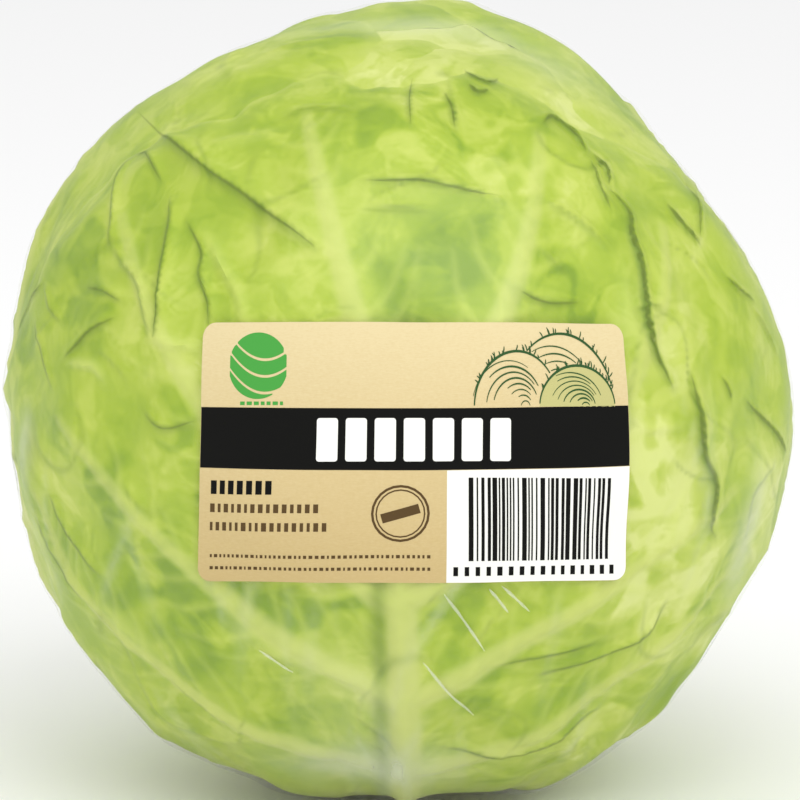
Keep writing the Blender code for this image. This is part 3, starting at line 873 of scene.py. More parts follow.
def add_leaf(name, laid, spacing, material):
    leaf = laid.leaf
    outline = even_points(leaf.outline(), spacing)
    inside = hexagon_points((-GRID_REACH, -GRID_REACH), (GRID_REACH, GRID_REACH), spacing)
    to_margin = leaf.margin(np.arctan2(inside[:, 1], inside[:, 0])) - np.linalg.norm(inside, axis=1)
    to_base = angle_between(leaf.plane.directions(inside), DOWN) - LEAF_BASE
    kept = np.minimum(to_margin, to_base) > EDGE_ROOM * spacing
    points, triangles = triangulated(outline, inside[kept])
    stand, thick, tones = leaf.relief(points)
    inner = read_field(laid.under, laid.axes, points) + stand
    directions = leaf.plane.directions(points)
    add_sheet(name, directions, inner, inner + thick, triangles, material, tones, name)


# Painted shadow: dark narrow strips laid in the darkest folds of the front leaf
STRIP_SPACING = 0.5
FOLD_SHADOW_FROM = 0.55  # folds darker than this also get a narrow line
FOLD_SHADOW_FORM = (0.05, 0.3)  # height in mm, half width in degrees
FOLD_SHADOW_LIFT = 0.1
FOLD_SHADOW_SHIFT = 0.25  # from the fold's ridge towards its steep side


def tapered(path, half):
    """The outline of a narrow strip along a path, with fine ends and an uneven width."""
    share = np.linspace(0.0, 1.0, len(path))
    uneven = 0.7 + 0.3 * np.sin(9.0 * share)
    return strip(path, half * (0.15 + 0.85 * np.sin(math.pi * share) * uneven))


def gathered(outlines, spacing):
    """Points and triangles of several flat shapes."""
    points, triangles, count = [], [], 0
    for outline in outlines:
        found, faces = filled(outline, spacing)
        points.append(found)
        triangles.append(faces + count)
        count += len(found)
    return np.concatenate(points), np.concatenate(triangles)


def add_fold_shadows(laid, material):
    """Narrow strips of painted shadow in the sharpest folds of the front leaf, where no light gets in."""
    tall, half = FOLD_SHADOW_FORM
    outlines = [
        tapered(path - FOLD_SHADOW_SHIFT * leftwards(path), half * dark * (0.6 + 0.4 * wide))
        for _, wide, dark, path in laid.leaf.folds
        if dark >= FOLD_SHADOW_FROM
    ]
    points, triangles = gathered(outlines, STRIP_SPACING)
    directions = laid.leaf.plane.directions(points)
    stand, thick, _ = laid.leaf.relief(points)
    inner = read_field(laid.under, laid.axes, points) + stand + thick + FOLD_SHADOW_LIFT
    add_sheet("leaf_1_fold_shadows", directions, inner, inner + tall, triangles, material, {},
              "leaf_1")


# The film

# Painted glints of the film: pixels along a fine raised pleat
GLINTS = (
    ((444, 593), (462, 620), (485, 652)),
    ((490, 591), (500, 603), (510, 616)),
    ((503, 588), (516, 600), (531, 614)),
    ((260, 649), (276, 660), (293, 672)),
    ((423, 662), (448, 690), (474, 716)),
)
GLINT_FORM = (0.06, 0.34)  # height in mm, half width in degrees
GLINT_LIFT = 0.03

# Hazy places of the film, partly milky haze and partly painted reflection of the bright room: pixel, half
# width, half height, strength
HAZES_AND_REFLECTIONS = (
    (430, 16, 150, 26, 0.14),
    (360, 768, 100, 42, 0.22),
    (350, 700, 60, 70, 0.05),
    (24, 440, 18, 46, 0.14),
    (748, 540, 22, 80, 0.22),
    (560, 60, 60, 40, 0.08),
)
BACK = Plane(180.0, -FRONT_TILT)
FILM_BLEND = 0.17  # the two charts are blended over this share of the head's radius to each side
PLEATS = 46
PLEAT_HEIGHT = 0.3
PLEAT_REACH = 20.0
PLEAT_HAZE = 0.04
TENSION_LINES = 90
TENSION_HAZE = 0.5


class Film:
    """The clear film: charts of the front and of the back, blended where they meet."""

    def __init__(self, pile):
        self.charts = []
        for plane in (FRONT, BACK):
            need = pile.reach(plane.directions(grid_points(CHART_AXIS, CHART_AXIS)))
            self.charts.append((plane, draped(need.reshape(len(CHART_AXIS), -1), FILM_DRAPE) + LEAF_GAP))
        self.pulls = Waves(71, 40.0)
        self.tension = self.tension_lines()

    def tension_lines(self):
        """Long faint lines where the film is pulled towards the gathering at the stump.

        Each is a direction round the head, where it starts and ends, its lean, height and half width.
        """
        random = np.random.default_rng(73)
        found = []
        for _ in range(TENSION_LINES):
            turn, low = random.uniform(0.0, 360.0), random.uniform(14.0, 70.0)
            high = low + random.uniform(12.0, 44.0)
            lean = random.uniform(-14.0, 14.0)
            found.append((turn, low, high, lean, random.uniform(0.05, 0.16), random.uniform(0.5, 1.1)))
        return found

    def plain(self, directions):
        """How far out the film lies, without its pleats and lines."""
        front = smooth_step((directions @ FRONT.middle + FILM_BLEND) / (2.0 * FILM_BLEND))
        found = 0.0
        for (plane, field), weight in zip(self.charts, (front, 1.0 - front)):
            found = found + weight * read_field(field, (CHART_AXIS, CHART_AXIS), plane.points(directions))
        return found

    def relief(self, directions):
        """Heights of the film's pleats and lines, and its haze, which is partly painted reflection."""
        down = angle_between(directions, DOWN)
        turn = np.degrees(np.arctan2(directions[:, 1], directions[:, 0]))
        wander = self.pulls(directions)
        pleat = (0.5 + 0.5 * np.sin(np.radians(PLEATS * turn) + 1.6 * wander)) ** 2
        near_mouth = np.exp(-np.maximum(down - FILM_MOUTH, 0.0) / PLEAT_REACH)
        height = PLEAT_HEIGHT * pleat * near_mouth * smooth_step((down - FILM_MOUTH) / 3.0 + 0.3)
        haze_and_reflection = PLEAT_HAZE * pleat * near_mouth
        for middle, low, high, lean, tall, wide in self.tension:
            along = (down - low) / (high - low)
            near = (along > 0.0) & (along < 1.0)
            along = along[near]
            away = (turn[near] - middle - lean * along + 180.0) % 360.0 - 180.0
            shape = bump(away * np.sin(np.radians(down[near])), wide) * 4.0 * along * (1.0 - along)
            height[near] += tall * shape
            haze_and_reflection[near] += TENSION_HAZE * tall * shape
        points = FRONT.points(directions)
        shown = directions @ FRONT.middle > 0.0
        # Milky places of the film, partly painted reflection of the bright room
        for x, y, wide, tall, strength in HAZES_AND_REFLECTIONS:
            haze_and_reflection += shown * strength * bump(from_spot(points, x, y, wide, tall), 1.0)
        return height, np.clip(haze_and_reflection, 0.0, 1.0)

    def reach(self, directions):
        return self.plain(directions) + self.relief(directions)[0] + FILM_THICKNESS


def add_film(film, material):
    downs = np.radians(FILM_MOUTH + (180.0 - FILM_MOUTH) * np.linspace(0.0, 1.0, FILM_ROWS))[:-1]
    directions = np.concatenate([rings(downs, FILM_COLUMNS), [(0.0, 0.0, 1.0)]])
    triangles = ring_triangles(len(downs), FILM_COLUMNS, high=len(directions) - 1)
    height, haze_and_reflection = film.relief(directions)
    inner = film.plain(directions) + height
    outer = inner + FILM_THICKNESS
    add_sheet("film", directions, inner, outer, triangles, material, {"haze_and_reflection": haze_and_reflection}, "film")


def add_glints(film, material):
    """Painted glints on fine pleats of the film, as narrow milky strips with pointed ends."""
    tall, wide = GLINT_FORM
    outlines = [tapered(traced(line, 6.0, 0.8), wide) for line in GLINTS]
    points, triangles = gathered(outlines, STRIP_SPACING)
    directions = FRONT.directions(points)
    inner = film.reach(directions) + GLINT_LIFT
    add_sheet("film_glints", directions, inner, inner + tall, triangles, material, {}, "film")


# The label

LABEL_SIZE = (93.0, 53.5)
LABEL_CORNER = 3.0
LABEL_PLACE = (3.47, -11.3)  # its middle, across and up from the middle of the front view
LABEL_SHRINK = 0.9735  # the film stands out here, so the paper spans fewer degrees than its width says
LABEL_NARROWING = 0.00098  # for each mm further up, this much fewer
LABEL_THICKNESS = 0.16
LABEL_GAP = 0.08
LABEL_DRAPE = 7
LABEL_SPACING = 1.1
LABEL_AXES = (np.arange(-50.0, 50.5, 1.0), np.arange(-30.0, 30.5, 1.0))
INK = 0.035  # how far each layer of print stands off the one below
INK_GAP = 0.4  # the share of this that is left free under it
PRINT_SPACING = 1.5
CORNER_STEPS = 6


def label_directions(points):
    """Directions of points given in mm across and up the label; its rows lie level in the front view."""
    per_mm = 1.0 / CENTRE_HEIGHT
    raised = (points[:, 1] + LABEL_PLACE[1]) * per_mm
    width = LABEL_SHRINK - LABEL_NARROWING * points[:, 1]
    across = width * points[:, 0] * per_mm / np.cos(raised) + LABEL_PLACE[0] * per_mm
    level = np.sin(across)[:, None] * FRONT.right + np.cos(across)[:, None] * FRONT.middle
    return np.cos(raised)[:, None] * level + np.sin(raised)[:, None] * FRONT.up


class Label:
    """The paper on the film, whose inner face is a field over mm across and up it."""

    def __init__(self, film):
        need = film.reach(label_directions(grid_points(*LABEL_AXES)))
        self.field = draped(need.reshape([len(axis) for axis in LABEL_AXES]), LABEL_DRAPE) + LABEL_GAP

    def inner(self, points):
        return read_field(self.field, LABEL_AXES, points)

    def outer(self, points):
        return self.inner(points) + LABEL_THICKNESS


def box(x0, y0, x1, y1):
    return [(x0, y0), (x1, y0), (x1, y1), (x0, y1)]


def rounded_box(x0, y0, x1, y1, radius):
    """A rectangle with round corners, anticlockwise."""
    left, foot, right, top = x0 + radius, y0 + radius, x1 - radius, y1 - radius
    outline = []
    for corner, (x, y) in enumerate(((right, foot), (right, top), (left, top), (left, foot))):
        for step in range(CORNER_STEPS + 1):
            c, s = turned(90.0 * (corner - 1 + step / CORNER_STEPS))
            outline.append((x + radius * c, y + radius * s))
    return np.array(outline)


def within(points, outline):
    """Which points lie inside a closed outline."""
    inside = np.zeros(len(points), bool)
    ends = np.roll(outline, -1, axis=0)
    for (x0, y0), (x1, y1) in zip(outline, ends):
        if y0 != y1:
            crosses = (points[:, 1] < y0) != (points[:, 1] < y1)
            inside ^= crosses & (points[:, 0] < x0 + (points[:, 1] - y0) * (x1 - x0) / (y1 - y0))
    return inside


def subdivided(outline, spacing):
    """The outline with points added along its long sides; its corners stay."""
    found = []
    for start, end in zip(outline, np.roll(outline, -1, axis=0)):
        steps = max(1, math.ceil(np.linalg.norm(end - start) / spacing))
        found.append(start + (end - start) * np.linspace(0.0, 1.0, steps, endpoint=False)[:, None])
    return np.concatenate(found)


def filled(outline, spacing):
    """Points and triangles of a flat shape."""
    outline = subdivided(np.asarray(outline, float), spacing)
    points = hexagon_points(outline.min(axis=0), outline.max(axis=0), spacing)
    points = points[within(points, outline)]
    if len(points):
        offset = np.linalg.norm(points[:, None] - outline[None], axis=2).min(axis=1)
        points = points[offset > 0.5 * spacing]
    return triangulated(outline, points)


def add_label(label, material):
    x, y = np.array(LABEL_SIZE) / 2.0
    points, triangles = filled(rounded_box(-x, -y, x, y, LABEL_CORNER), LABEL_SPACING)
    directions, tones = label_directions(points), {"upright": points[:, 1] / y}
    inner, outer = label.inner(points), label.outer(points)
    add_sheet("label", directions, inner, outer, triangles, material, tones, "label")


def add_print(name, label, outlines, level, material):
    """Printed shapes: thin closed pieces that lie on the paper, or on the print of the level below."""
    points, triangles = gathered(outlines, PRINT_SPACING)
    inner = label.outer(points) + INK * (level - 1 + INK_GAP)
    outer = inner + INK * (1.0 - INK_GAP)
    add_sheet(name, label_directions(points), inner, outer, triangles, material, {}, "label")


RING_PIECES = 24


def ring_outlines(x, y, radius, width):
    """A ring as short closed segments."""
    found = []
    for k in range(RING_PIECES):
        (c0, s0), (c1, s1) = (turned(360.0 * end / RING_PIECES) for end in (k, k + 1))
        inner = radius - width
        corners = ((inner, c0, s0), (radius, c0, s0), (radius, c1, s1), (inner, c1, s1))
        found.append([(x + r * c, y + r * s) for r, c, s in corners])
    return found


def dashes(x0, x1, y0, y1, shortest, longest, gap, seed):
    """A row of plain dashes that stand where a line of small print would be."""
    random = np.random.default_rng(seed)
    found, x = [], x0
    while x < x1 - 0.3:
        end = min(x1, x + random.uniform(shortest, longest))
        found.append(box(x, y0, end, y1))
        x = end + gap
    return found


BAR_UNIT = 0.33


def bars(x0, x1, y0, y1, seed):
    """Generic upright bars, thick and thin."""
    random = np.random.default_rng(seed)
    found, x = [], x0
    while x < x1:
        end = min(x1, x + BAR_UNIT * int(random.integers(1, 4)))
        found.append(box(x, y0, end, y1))
        x = end + BAR_UNIT * int(random.integers(1, 3))
    return found


def striped_disc(x, y, radius, stripes, gap):
    """A disc cut into curved stripes."""
    across = np.linspace(-radius, radius, 41)[1:-1]
    round_edge = np.sqrt(radius**2 - across**2)
    curve = 0.5 * radius * (across / radius) ** 2 - 0.25 * across
    found = []
    for k in range(stripes):
        low = curve + radius * (2.0 * k / stripes - 1.25)
        high = low + 2.0 * radius / stripes - gap if k < stripes - 1 else np.full_like(low, 9.0 * radius)
        low = np.maximum(low, -round_edge) if k else -round_edge
        high = np.minimum(high, round_edge)
        shown = high - low > 0.15
        lower = np.stack([x + across[shown], y + low[shown]], axis=1)
        upper = np.stack([x + across[shown], y + high[shown]], axis=1)
        found.append(np.concatenate([lower, upper[::-1]]))
    return found


# Ploughed hills beside the emblem: middle, half width and height of each, nearest first
HILLS = ((34.5, 8.6, 8.2), (21.0, 9.2, 11.0), (31.0, 12.0, 14.6))
HILL_FOOT = 10.0
HILL_MARGIN = 0.3  # lines of a hill end this far from a nearer one
FURROWS = 9
TUFTS = 26


def strokes(path, half, hidden):
    """Thin tapered strokes along a path, where it isn't hidden."""
    shown = ~hidden(path)
    found, start = [], None
    for k in range(len(path) + 1):
        if k < len(path) and shown[k]:
            start = k if start is None else start
            continue
        if start is not None and k - start >= 4:
            bulge = np.sin(np.linspace(0.15, math.pi - 0.15, k - start))
            found.append(strip(path[start:k], half * (0.35 + 0.65 * bulge)))
        start = None
    return found


def hills():
    """Hills drawn in thin lines, with tufts along their tops."""
    random = np.random.default_rng(8)
    found = []
    y = HILL_FOOT
    for k, (x, wide, tall) in enumerate(HILLS):

        def hidden(path, nearer=HILLS[:k]):
            inside = path[:, 1] < HILL_FOOT + 0.2
            for hx, hw, hh in nearer:
                across = (path[:, 0] - hx) / (hw + HILL_MARGIN)
                up = (path[:, 1] - HILL_FOOT) / (hh + HILL_MARGIN)
                inside |= across**2 + up**2 < 1.0
            return inside

        turn = np.linspace(0.02, math.pi - 0.02, 60)
        top = np.stack([x + wide * np.cos(turn), y + tall * np.sin(turn)], axis=1)
        found += strokes(top, 0.27, hidden)
        for row in range(1, FURROWS):
            share = row / FURROWS
            lean = 0.5 * wide * (share - 0.5)
            path = np.stack([x + lean + (1.0 - share) * wide * np.cos(turn) * 0.96,
                             y + (1.0 - share) * tall * np.sin(turn) * 0.93], axis=1)
            cut = random.uniform(0.0, 0.35, 2)
            first, last = int(cut[0] * len(path)), int((1.0 - cut[1]) * len(path))
            found += strokes(path[first:last], random.uniform(0.1, 0.2), hidden)
        for place in np.sort(random.uniform(0.12, 0.88, TUFTS)):
            c, s = math.cos(math.pi * place), math.sin(math.pi * place)
            root = np.array((x + wide * c, y + tall * s))
            lean = random.uniform(-0.5, 0.5)
            tip = root + random.uniform(0.7, 1.7) * np.array((0.5 * c + lean, 1.0))
            found += strokes(arc_through(root, 0.5 * (root + tip) + (0.12, 0.0), tip, 6), 0.13, hidden)
    return found


# The label's print: places in mm from the label's middle
BAND_FOOT = ((-46.4, -2.3), (-20.0, -2.7), (6.2, -2.8), (25.0, -2.5), (46.4, -1.9))
BAND_TOP = ((46.4, 10.2), (10.0, 9.7), (-20.0, 9.7), (-46.4, 9.9))
BLOCKS = 7
BLOCK_STEP = 6.0
FIRST_BLOCK = (-20.8, -1.0, -16.4, 7.7)
BLOCK_CORNER = 0.6
PANEL_BOX = (6.2, -26.68, 46.42, -2.9)
PANEL_CORNER = 2.9
DISC = (-33.6, 18.1, 6.6, 4, 0.55)  # place, radius, stripes, gap
RING_PLACE = (-3.3, -11.8)
RINGS = ((6.0, 0.5), (5.1, 0.3))  # radius, width
RING_BAR = (4.0, 1.0)
RING_BAR_TURN = 16.0
TEXT_ROWS = (
    (-43.8, -19.8, -11.5, -9.7, 0.55, 1.1, 0.75, 10),
    (-43.8, -17.3, -15.4, -13.6, 0.55, 1.1, 0.75, 11),
    (-43.7, 2.9, -21.3, -20.6, 0.35, 0.8, 0.5, 12),
    (-43.7, 2.9, -24.0, -23.3, 0.35, 0.8, 0.5, 13),
)  # as dashes() takes them
INKS = {
    "black": (8, 8, 6, 0.6),
    "brown": (88, 68, 40, 0.6),
    "white": (243, 243, 236, 0.5),
    "green": (74, 158, 68, 0.5),
    "dark green": (48, 84, 44, 0.5),
    "pale green": (190, 186, 124, 0.6),
}  # colour, roughness


def panel_outline(band_foot):
    """The white panel under the band, whose lower right corner is the label's."""
    x0, y0, x1, y1 = PANEL_BOX
    corner = rounded_box(0.0, y0, x1, 0.0, PANEL_CORNER)[: CORNER_STEPS + 1]
    top = band_foot[band_foot[:, 0] > x0][::-1] - (0.0, 0.1)
    return np.concatenate([corner, top, [(x0, y1), (x0, y0)]])


def ring_stamp():
    """Two rings with a slanting bar where the stamp's word would be."""
    x, y = RING_PLACE
    c, s = turned(RING_BAR_TURN)
    bar = [(x + c * dx - s * dy, y + s * dx + c * dy)
           for dx, dy in box(-RING_BAR[0], -RING_BAR[1], RING_BAR[0], RING_BAR[1])]
    return [outline for radius, width in RINGS for outline in ring_outlines(x, y, radius, width)] + [bar]


def add_prints(label):
    inks = {}
    for name, (*colour, rough) in INKS.items():
        inks[name] = print_material(name + " print", srgb(*colour), rough)
    band_foot = smooth_path(BAND_FOOT, 4.0)
    x0, y0, x1, y1 = FIRST_BLOCK
    steps = [BLOCK_STEP * k for k in range(BLOCKS)]
    blocks = [rounded_box(x0 + step, y0, x1 + step, y1, BLOCK_CORNER) for step in steps]
    x, wide, tall = HILLS[0]
    turn = np.linspace(0.0, math.pi, 40)
    hill = np.stack([x + wide * np.cos(turn), HILL_FOOT + tall * np.sin(turn)], axis=1)
    for name, outlines, level, ink in (
        ("label_band", [np.concatenate([band_foot, smooth_path(BAND_TOP, 4.0)])], 1, "black"),
        ("label_panel", [panel_outline(band_foot)], 1, "white"),
        ("label_blocks", blocks, 2, "white"),
        ("label_bars", bars(10.7, 41.8, -21.9, -4.4, 5), 2, "black"),
        ("label_bar_row", dashes(7.6, 44.6, -25.2, -23.2, 0.8, 1.1, 1.35, 6), 2, "black"),
        ("label_disc", striped_disc(*DISC), 1, "green"),
        ("label_disc_line", dashes(-37.4, -28.0, 10.3, 11.0, 0.7, 1.2, 0.45, 7), 1, "green"),
        ("label_hill_fills", [hill], 1, "pale green"),
        ("label_hills", hills(), 2, "dark green"),
        ("label_title", dashes(-43.7, -29.8, -7.7, -4.9, 1.1, 1.4, 0.75, 9), 1, "black"),
        ("label_rows", [dash for row in TEXT_ROWS for dash in dashes(*row)], 1, "brown"),
        ("label_ring", ring_stamp(), 1, "brown"),
    ):
        add_print(name, label, outlines, level, inks[ink])


# The dense head and the cut stump

HEAD_ROWS = 88
HEAD_COLUMNS = 160
HEAD_DEPTH = 0.3  # it lies this far under the leaves' lowest layer


def add_head(material):
    downs = np.linspace(0.0, math.pi, HEAD_ROWS + 2)[1:-1]
    directions = np.concatenate([rings(downs, HEAD_COLUMNS), [(0.0, 0.0, -1.0), (0.0, 0.0, 1.0)]])
    faces = ring_triangles(HEAD_ROWS, HEAD_COLUMNS, len(directions) - 2, len(directions) - 1)
    radius = head_radius(directions) + terraces(directions) - HEAD_DEPTH
    tones = {key: np.zeros(len(directions)) for key in ("rib", "vein", "line", "edge")}
    tones["tone"] = 0.85 + 0.08 * Waves(90, 30.0)(directions)
    tones["base"] = bump(angle_between(directions, DOWN), 26.0)
    points = swollen(directions * radius[:, None])
    add_mesh("head", points, outward(directions, faces), material, tones, "head")


STUMP_RADIUS = 14.5
STUMP_RINGS = 22
STUMP_COLUMNS = 120
STUMP_LOBES = ((0.012, 3, 0.6), (0.01, 7, 0.0))  # share of the radius, times round, phase
STUMP_GROOVES = (0.012, 4, 0.3)
STUMP_EDGE = ((0.965, 0.12), (0.985, 0.4), (0.992, 0.9))  # share of the radius, height
STUMP_NARROWING = 0.03
STUMP_STEPS = 8


def add_stump(material):
    """The cut stalk: a slightly grooved side, a soft edge and a flat cut face that it stands on."""
    turns = np.linspace(0.0, 2.0 * math.pi, STUMP_COLUMNS, endpoint=False)
    deep, times, phase = STUMP_GROOVES
    lobes = 1.0 - deep * np.abs(np.sin(times * turns + phase))
    for high, times, phase in STUMP_LOBES:
        lobes += high * np.sin(times * turns + phase)
    section = [(share, 0.0) for share in np.linspace(1.0 / STUMP_RINGS, 0.94, STUMP_RINGS)]
    section += STUMP_EDGE
    share, foot = STUMP_EDGE[-1]
    for step in range(1, STUMP_STEPS + 1):
        up = step / STUMP_STEPS
        section.append((share - STUMP_NARROWING * up, foot + (STUMP_TOP - foot) * up))
    points = [(STUMP_RADIUS * share * lobe * math.cos(t), STUMP_RADIUS * share * lobe * math.sin(t), z)
              for share, z in section for t, lobe in zip(turns, lobes)]
    points += [(0.0, 0.0, 0.0), (0.0, 0.0, STUMP_TOP)]
    index = np.arange(len(section) * STUMP_COLUMNS).reshape(len(section), STUMP_COLUMNS)
    after = np.roll(index, -1, axis=1)
    bottom, top = len(points) - 2, len(points) - 1
    faces = np.stack([index[:-1], index[1:], after[1:], after[:-1]], axis=-1).reshape(-1, 4).tolist()
    faces += [(bottom, i, j) for i, j in zip(index[0].tolist(), after[0].tolist())]
    faces += [(top, j, i) for i, j in zip(index[-1].tolist(), after[-1].tolist())]
    points = np.array(points) - (0.0, 0.0, CENTRE_HEIGHT)
    add_mesh("stump", points, faces, material, {}, "stump")


# Materials

WHITE = (1.0, 1.0, 1.0, 1.0)
PLAIN_SPECULAR = 0.5


def srgb(*parts):
    """A colour of 0 to 255 a channel, in the linear values that a material takes."""
    shares = [part / 255.0 for part in parts]
    return (*(((x + 0.055) / 1.055) ** 2.4 if x > 0.04045 else x / 12.92 for x in shares), 1.0)


class Shader:
    """A material being put together."""

    def __init__(self, name):
        self.material = bpy.data.materials.new(name)
        self.material.use_nodes = True
        self.nodes, self.links = self.material.node_tree.nodes, self.material.node_tree.links
        self.surface = self.nodes["Principled BSDF"]

    def fill(self, node, values):
        for key, value in values.items():
            if isinstance(value, bpy.types.NodeSocket):
                self.links.new(value, node.inputs[key])
            else:
                node.inputs[key].default_value = value

    def add(self, kind, values=None, **settings):
        node = self.nodes.new(kind)
        for key, value in settings.items():
            setattr(node, key, value)
        self.fill(node, values or {})
        return node

    def place(self):
        return self.add("ShaderNodeTexCoord").outputs["Object"]

    def math(self, operation, a, b, clamp=False):
        return self.add("ShaderNodeMath", {0: a, 1: b}, operation=operation, use_clamp=clamp).outputs[0]

    def attribute(self, name):
        return self.add("ShaderNodeAttribute", attribute_name=name).outputs["Fac"]

    def noise(self, place, scale, detail=3.0, rough=0.5, distortion=0.0):
        values = {"Scale": scale, "Detail": detail, "Roughness": rough, "Distortion": distortion}
        return self.add("ShaderNodeTexNoise", {"Vector": place, **values}).outputs["Fac"]

    def varied(self, value, noise, amount):
        """The value, moved up and down by a noise of this amount."""
        around = self.math("MULTIPLY", self.math("SUBTRACT", noise, 0.5), amount)
        return self.math("ADD", value, around)

    def mix(self, share, a, b):
        return self.add("ShaderNodeMix", {0: share, 6: a, 7: b}, data_type="RGBA").outputs[2]

    def ramp(self, value, stops):
        node = self.add("ShaderNodeValToRGB", {"Fac": value})
        stops_in = node.color_ramp.elements
        while len(stops_in) < len(stops):
            stops_in.new(0.5)
        for element, (position, *colour) in zip(stops_in, stops):
            element.position = position
            element.color = srgb(*colour)
        return node.outputs["Color"]

    def coat(self, colour, rough, specular=PLAIN_SPECULAR):
        """An opaque surface; returns the material."""
        values = {"Base Color": colour, "Roughness": rough, "Specular IOR Level": specular}
        self.fill(self.surface, values)
        return self.material

    def grain(self, height, strength, distance):
        values = {"Height": height, "Strength": strength, "Distance": distance}
        self.fill(self.surface, {"Normal": self.add("ShaderNodeBump", values).outputs["Normal"]})

    def shader(self, kind, colour, **values):
        return self.add("ShaderNodeBsdf" + kind, {"Color": colour, **values}).outputs[0]

    def blend(self, share, a, b):
        return self.add("ShaderNodeMixShader", {0: share, 1: a, 2: b}).outputs[0]

    def end_with(self, shader):
        """A surface other than the opaque one; returns the material."""
        self.links.new(shader, self.nodes["Material Output"].inputs["Surface"])
        self.nodes.remove(self.surface)
        return self.material


# Blotches of a leaf's tone: scale, middle and spread of the noise, change of tone
BLOTCHES = ((46.0, 0.52, 0.035, 0.08), (90.0, 0.5, 0.035, 0.045), (170.0, 0.48, 0.05, 0.02))
# Colours of a leaf: tone, then the colour's three parts
LEAF_RAMP = (
    (0.0, 122, 154, 4),
    (0.25, 144, 172, 18),
    (0.5, 166, 188, 44),
    (0.75, 187, 202, 82),
    (1.0, 208, 217, 124),
)
PAPER_RAMP = ((0.0, 199, 175, 122), (0.5, 209, 188, 138), (1.0, 219, 202, 156))
STALK_RAMP = ((0.0, 236, 234, 206), (0.55, 226, 224, 178), (0.74, 202, 196, 138), (1.0, 214, 214, 156))
# What lies over a leaf's colour, in turn: the mesh's value, how strongly it shows, the colour. A strength
# below 0 shows where the value is below 0.
OVERLAYS = (
    ("vein", 0.42, 196, 210, 92),
    ("rib", 0.8, 198, 207, 112),
    # Painted shade in folds and crumples and beside the midrib
    ("line", 1.0, 108, 136, 0),
    # Painted highlight along pale folds, partly pale rib bands
    ("line", -0.6, 212, 222, 122),
    ("edge", 0.35, 206, 217, 112),
    ("base", 0.7, 222, 227, 165),
)


def leaf_material(name):
    made = Shader(name)
    place = made.place()
    tone = made.attribute("tone")
    for scale, middle, spread, amount in BLOTCHES:
        ranged = {"Value": made.noise(place, scale, 3.0, 0.55, 1.3), "From Min": middle - spread,
                  "From Max": middle + spread, "To Min": -amount, "To Max": amount}
        blotch = made.add("ShaderNodeMapRange", ranged, interpolation_type="SMOOTHSTEP").outputs[0]
        tone = made.math("ADD", tone, blotch)
    colour = made.ramp(made.varied(tone, made.noise(place, 320.0, 2.0, 0.6), 0.2), LEAF_RAMP)
    for value, strength, *over in OVERLAYS:
        shown = made.math("MULTIPLY", made.attribute(value), strength, True)
        colour = made.mix(shown, colour, srgb(*over))
    cells = made.add("ShaderNodeTexVoronoi", {"Vector": place, "Scale": 210.0}, feature="DISTANCE_TO_EDGE")
    net = made.math("MULTIPLY", made.math("MULTIPLY", cells.outputs["Distance"], 3.0, True), 0.35)
    made.grain(made.math("ADD", net, made.noise(place, 420.0, 2.0, 0.6)), 0.14, 0.0004)
    return made.coat(colour, 0.5, 0.35)


def film_material():
    """Clear film: a faint gloss that grows towards the outline, with milky places that are partly painted
    reflection.
    """
    made = Shader("clear film")
    rim = made.math("POWER", made.add("ShaderNodeLayerWeight", {"Blend": 0.5}).outputs["Facing"], 3.4)
    gloss = made.math("ADD", made.math("MULTIPLY", rim, 0.05), 0.018, True)
    clear, glossy = made.shader("Transparent", WHITE), made.shader("Glossy", WHITE, Roughness=0.34)
    uneven = made.math("ADD", made.noise(made.place(), 60.0, 1.0), 0.5)
    haze_and_reflection = made.math("MULTIPLY", made.attribute("haze_and_reflection"), uneven, True)
    milky = made.shader("Diffuse", srgb(238, 242, 226))
    return made.end_with(made.blend(haze_and_reflection, made.blend(gloss, clear, glossy), milky))


def strip_material(name, colour, strength):
    """A faint, nearly clear colour, used for painted shadow and painted glints."""
    made = Shader(name)
    clear, tint = made.shader("Transparent", WHITE), made.shader("Diffuse", colour)
    return made.end_with(made.blend(strength, clear, tint))


def paper_material():
    """Kraft paper, a little lighter towards the top, with level fibres."""
    made = Shader("kraft paper")
    place = made.place()
    stretched = made.add("ShaderNodeMapping", {"Vector": place, "Scale": (1.0, 1.0, 5.0)}).outputs[0]
    fibres = made.noise(stretched, 900.0, 4.0, 0.6)
    level = made.math("ADD", made.math("MULTIPLY", made.attribute("upright"), 0.5), 0.5)
    level = made.varied(made.varied(level, fibres, 0.7), made.noise(place, 1500.0, 2.0), 0.3)
    made.grain(fibres, 0.1, 0.0002)
    return made.coat(made.ramp(level, PAPER_RAMP), 0.72, 0.25)


def print_material(name, colour, rough):
    return Shader(name).coat(colour, rough, 0.12)


def stump_material():
    """Pale pith that darkens outwards in faint rings, with a greener skin."""
    made = Shader("cut stalk")
    place = made.place()
    away = made.add("ShaderNodeVectorMath", {0: place}, operation="LENGTH").outputs["Value"]
    wobble = made.math("MULTIPLY", made.noise(place, 190.0), 0.003)
    rings_at = made.math("MULTIPLY", made.math("ADD", away, wobble), 2600.0)
    wave = made.add("ShaderNodeMath", {0: rings_at}, operation="SINE").outputs[0]
    tone = made.math("ADD", made.math("MULTIPLY", away, 52.0), made.math("MULTIPLY", wave, 0.05))
    tone = made.varied(tone, made.noise(place, 500.0, 4.0), 0.3)
    made.grain(made.noise(place, 700.0, 4.0), 0.3, 0.0004)
    return made.coat(made.ramp(tone, STALK_RAMP), 0.65)


# Putting it together

# Colour of the painted shadow strips in the folds
FOLD_SHADOW_LOOK = ((138, 160, 44), 0.11)  # colour, strength
# Colour of the painted glints
GLINT_LOOK = ((240, 244, 226), 0.26)


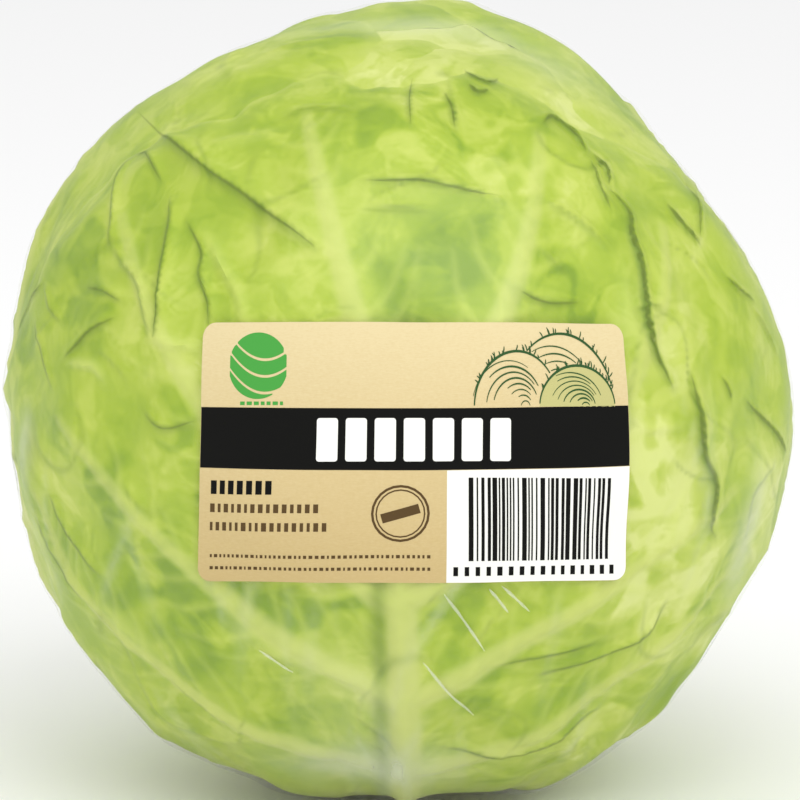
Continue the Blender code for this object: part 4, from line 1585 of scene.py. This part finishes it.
def build():
    wrapper = leaf_material("wrapper leaf")
    add_head(leaf_material("head leaf"))
    add_stump(stump_material())
    pile = Pile()
    for place, (name, turn, tilt, reach_up, reach_side, spacing, folds) in enumerate(LEAVES):
        laid = LaidLeaf(Leaf(place, turn, tilt, reach_up, reach_side, folds), pile)
        add_leaf(name, laid, spacing, wrapper)
        pile.layers.append(laid)
    colour, strength = FOLD_SHADOW_LOOK
    add_fold_shadows(laid, strip_material("fold shadow", srgb(*colour), strength))
    film = Film(pile)
    add_film(film, film_material())
    colour, strength = GLINT_LOOK
    add_glints(film, strip_material("film painted glint", srgb(*colour), strength))
    label = Label(film)
    add_label(label, paper_material())
    add_prints(label)


# Room, lights and camera

FLOOR_SIZE = 8.0
WORLD_STRENGTH = 0.78
LIGHTS = (
    ("key", (0.8, -1.3, 1.55), 1.7, 17.0),
    ("top", (-0.5, -0.9, 1.9), 1.8, 10.0),
    ("fill", (-1.2, -1.1, 0.4), 1.2, 1.4),
)  # place and size in metres, power in watts
SENSOR_WIDTH = 36.0


def add_floor():
    half = FLOOR_SIZE / 2.0
    mesh = bpy.data.meshes.new("floor")
    mesh.from_pydata([(x, y, 0.0) for x, y in box(-half, -half, half, half)], [], [(0, 1, 2, 3)])
    mesh.materials.append(Shader("studio floor").coat(srgb(250, 250, 250), 0.9, 0.0))
    floor = bpy.data.objects.new("floor", mesh)
    bpy.context.scene.collection.objects.link(floor)


def aimed(thing, place, target):
    thing.location = place
    thing.rotation_euler = (Vector(target) - Vector(place)).to_track_quat("-Z", "Y").to_euler()


def add_light(name, place, size, power):
    light = bpy.data.lights.new(name, "AREA")
    light.size = size
    light.energy = power
    thing = bpy.data.objects.new(name, light)
    bpy.context.scene.collection.objects.link(thing)
    aimed(thing, place, (0.0, 0.0, CENTRE_HEIGHT * MM))


def add_room():
    world = bpy.data.worlds.new("studio")
    world.use_nodes = True
    background = world.node_tree.nodes["Background"]
    background.inputs["Color"].default_value = WHITE
    background.inputs["Strength"].default_value = WORLD_STRENGTH
    bpy.context.scene.world = world
    for name, place, size, power in LIGHTS:
        add_light(name, place, size, power)


def add_camera():
    """A camera where the photograph was taken from, aimed at the head's middle."""
    lens = bpy.data.cameras.new("camera")
    lens.sensor_width = SENSOR_WIDTH
    lens.lens = SENSOR_WIDTH * CAMERA_DISTANCE / PHOTO_WIDTH
    camera = bpy.data.objects.new("camera", lens)
    bpy.context.scene.collection.objects.link(camera)
    middle = np.array((0.0, 0.0, CENTRE_HEIGHT))
    aimed(camera, tuple((middle + CAMERA_DISTANCE * FRONT.middle) * MM), tuple(middle * MM))
    bpy.context.scene.camera = camera
    bpy.context.scene.view_settings.view_transform = "Standard"


add_room()
build()
add_floor()
add_camera()
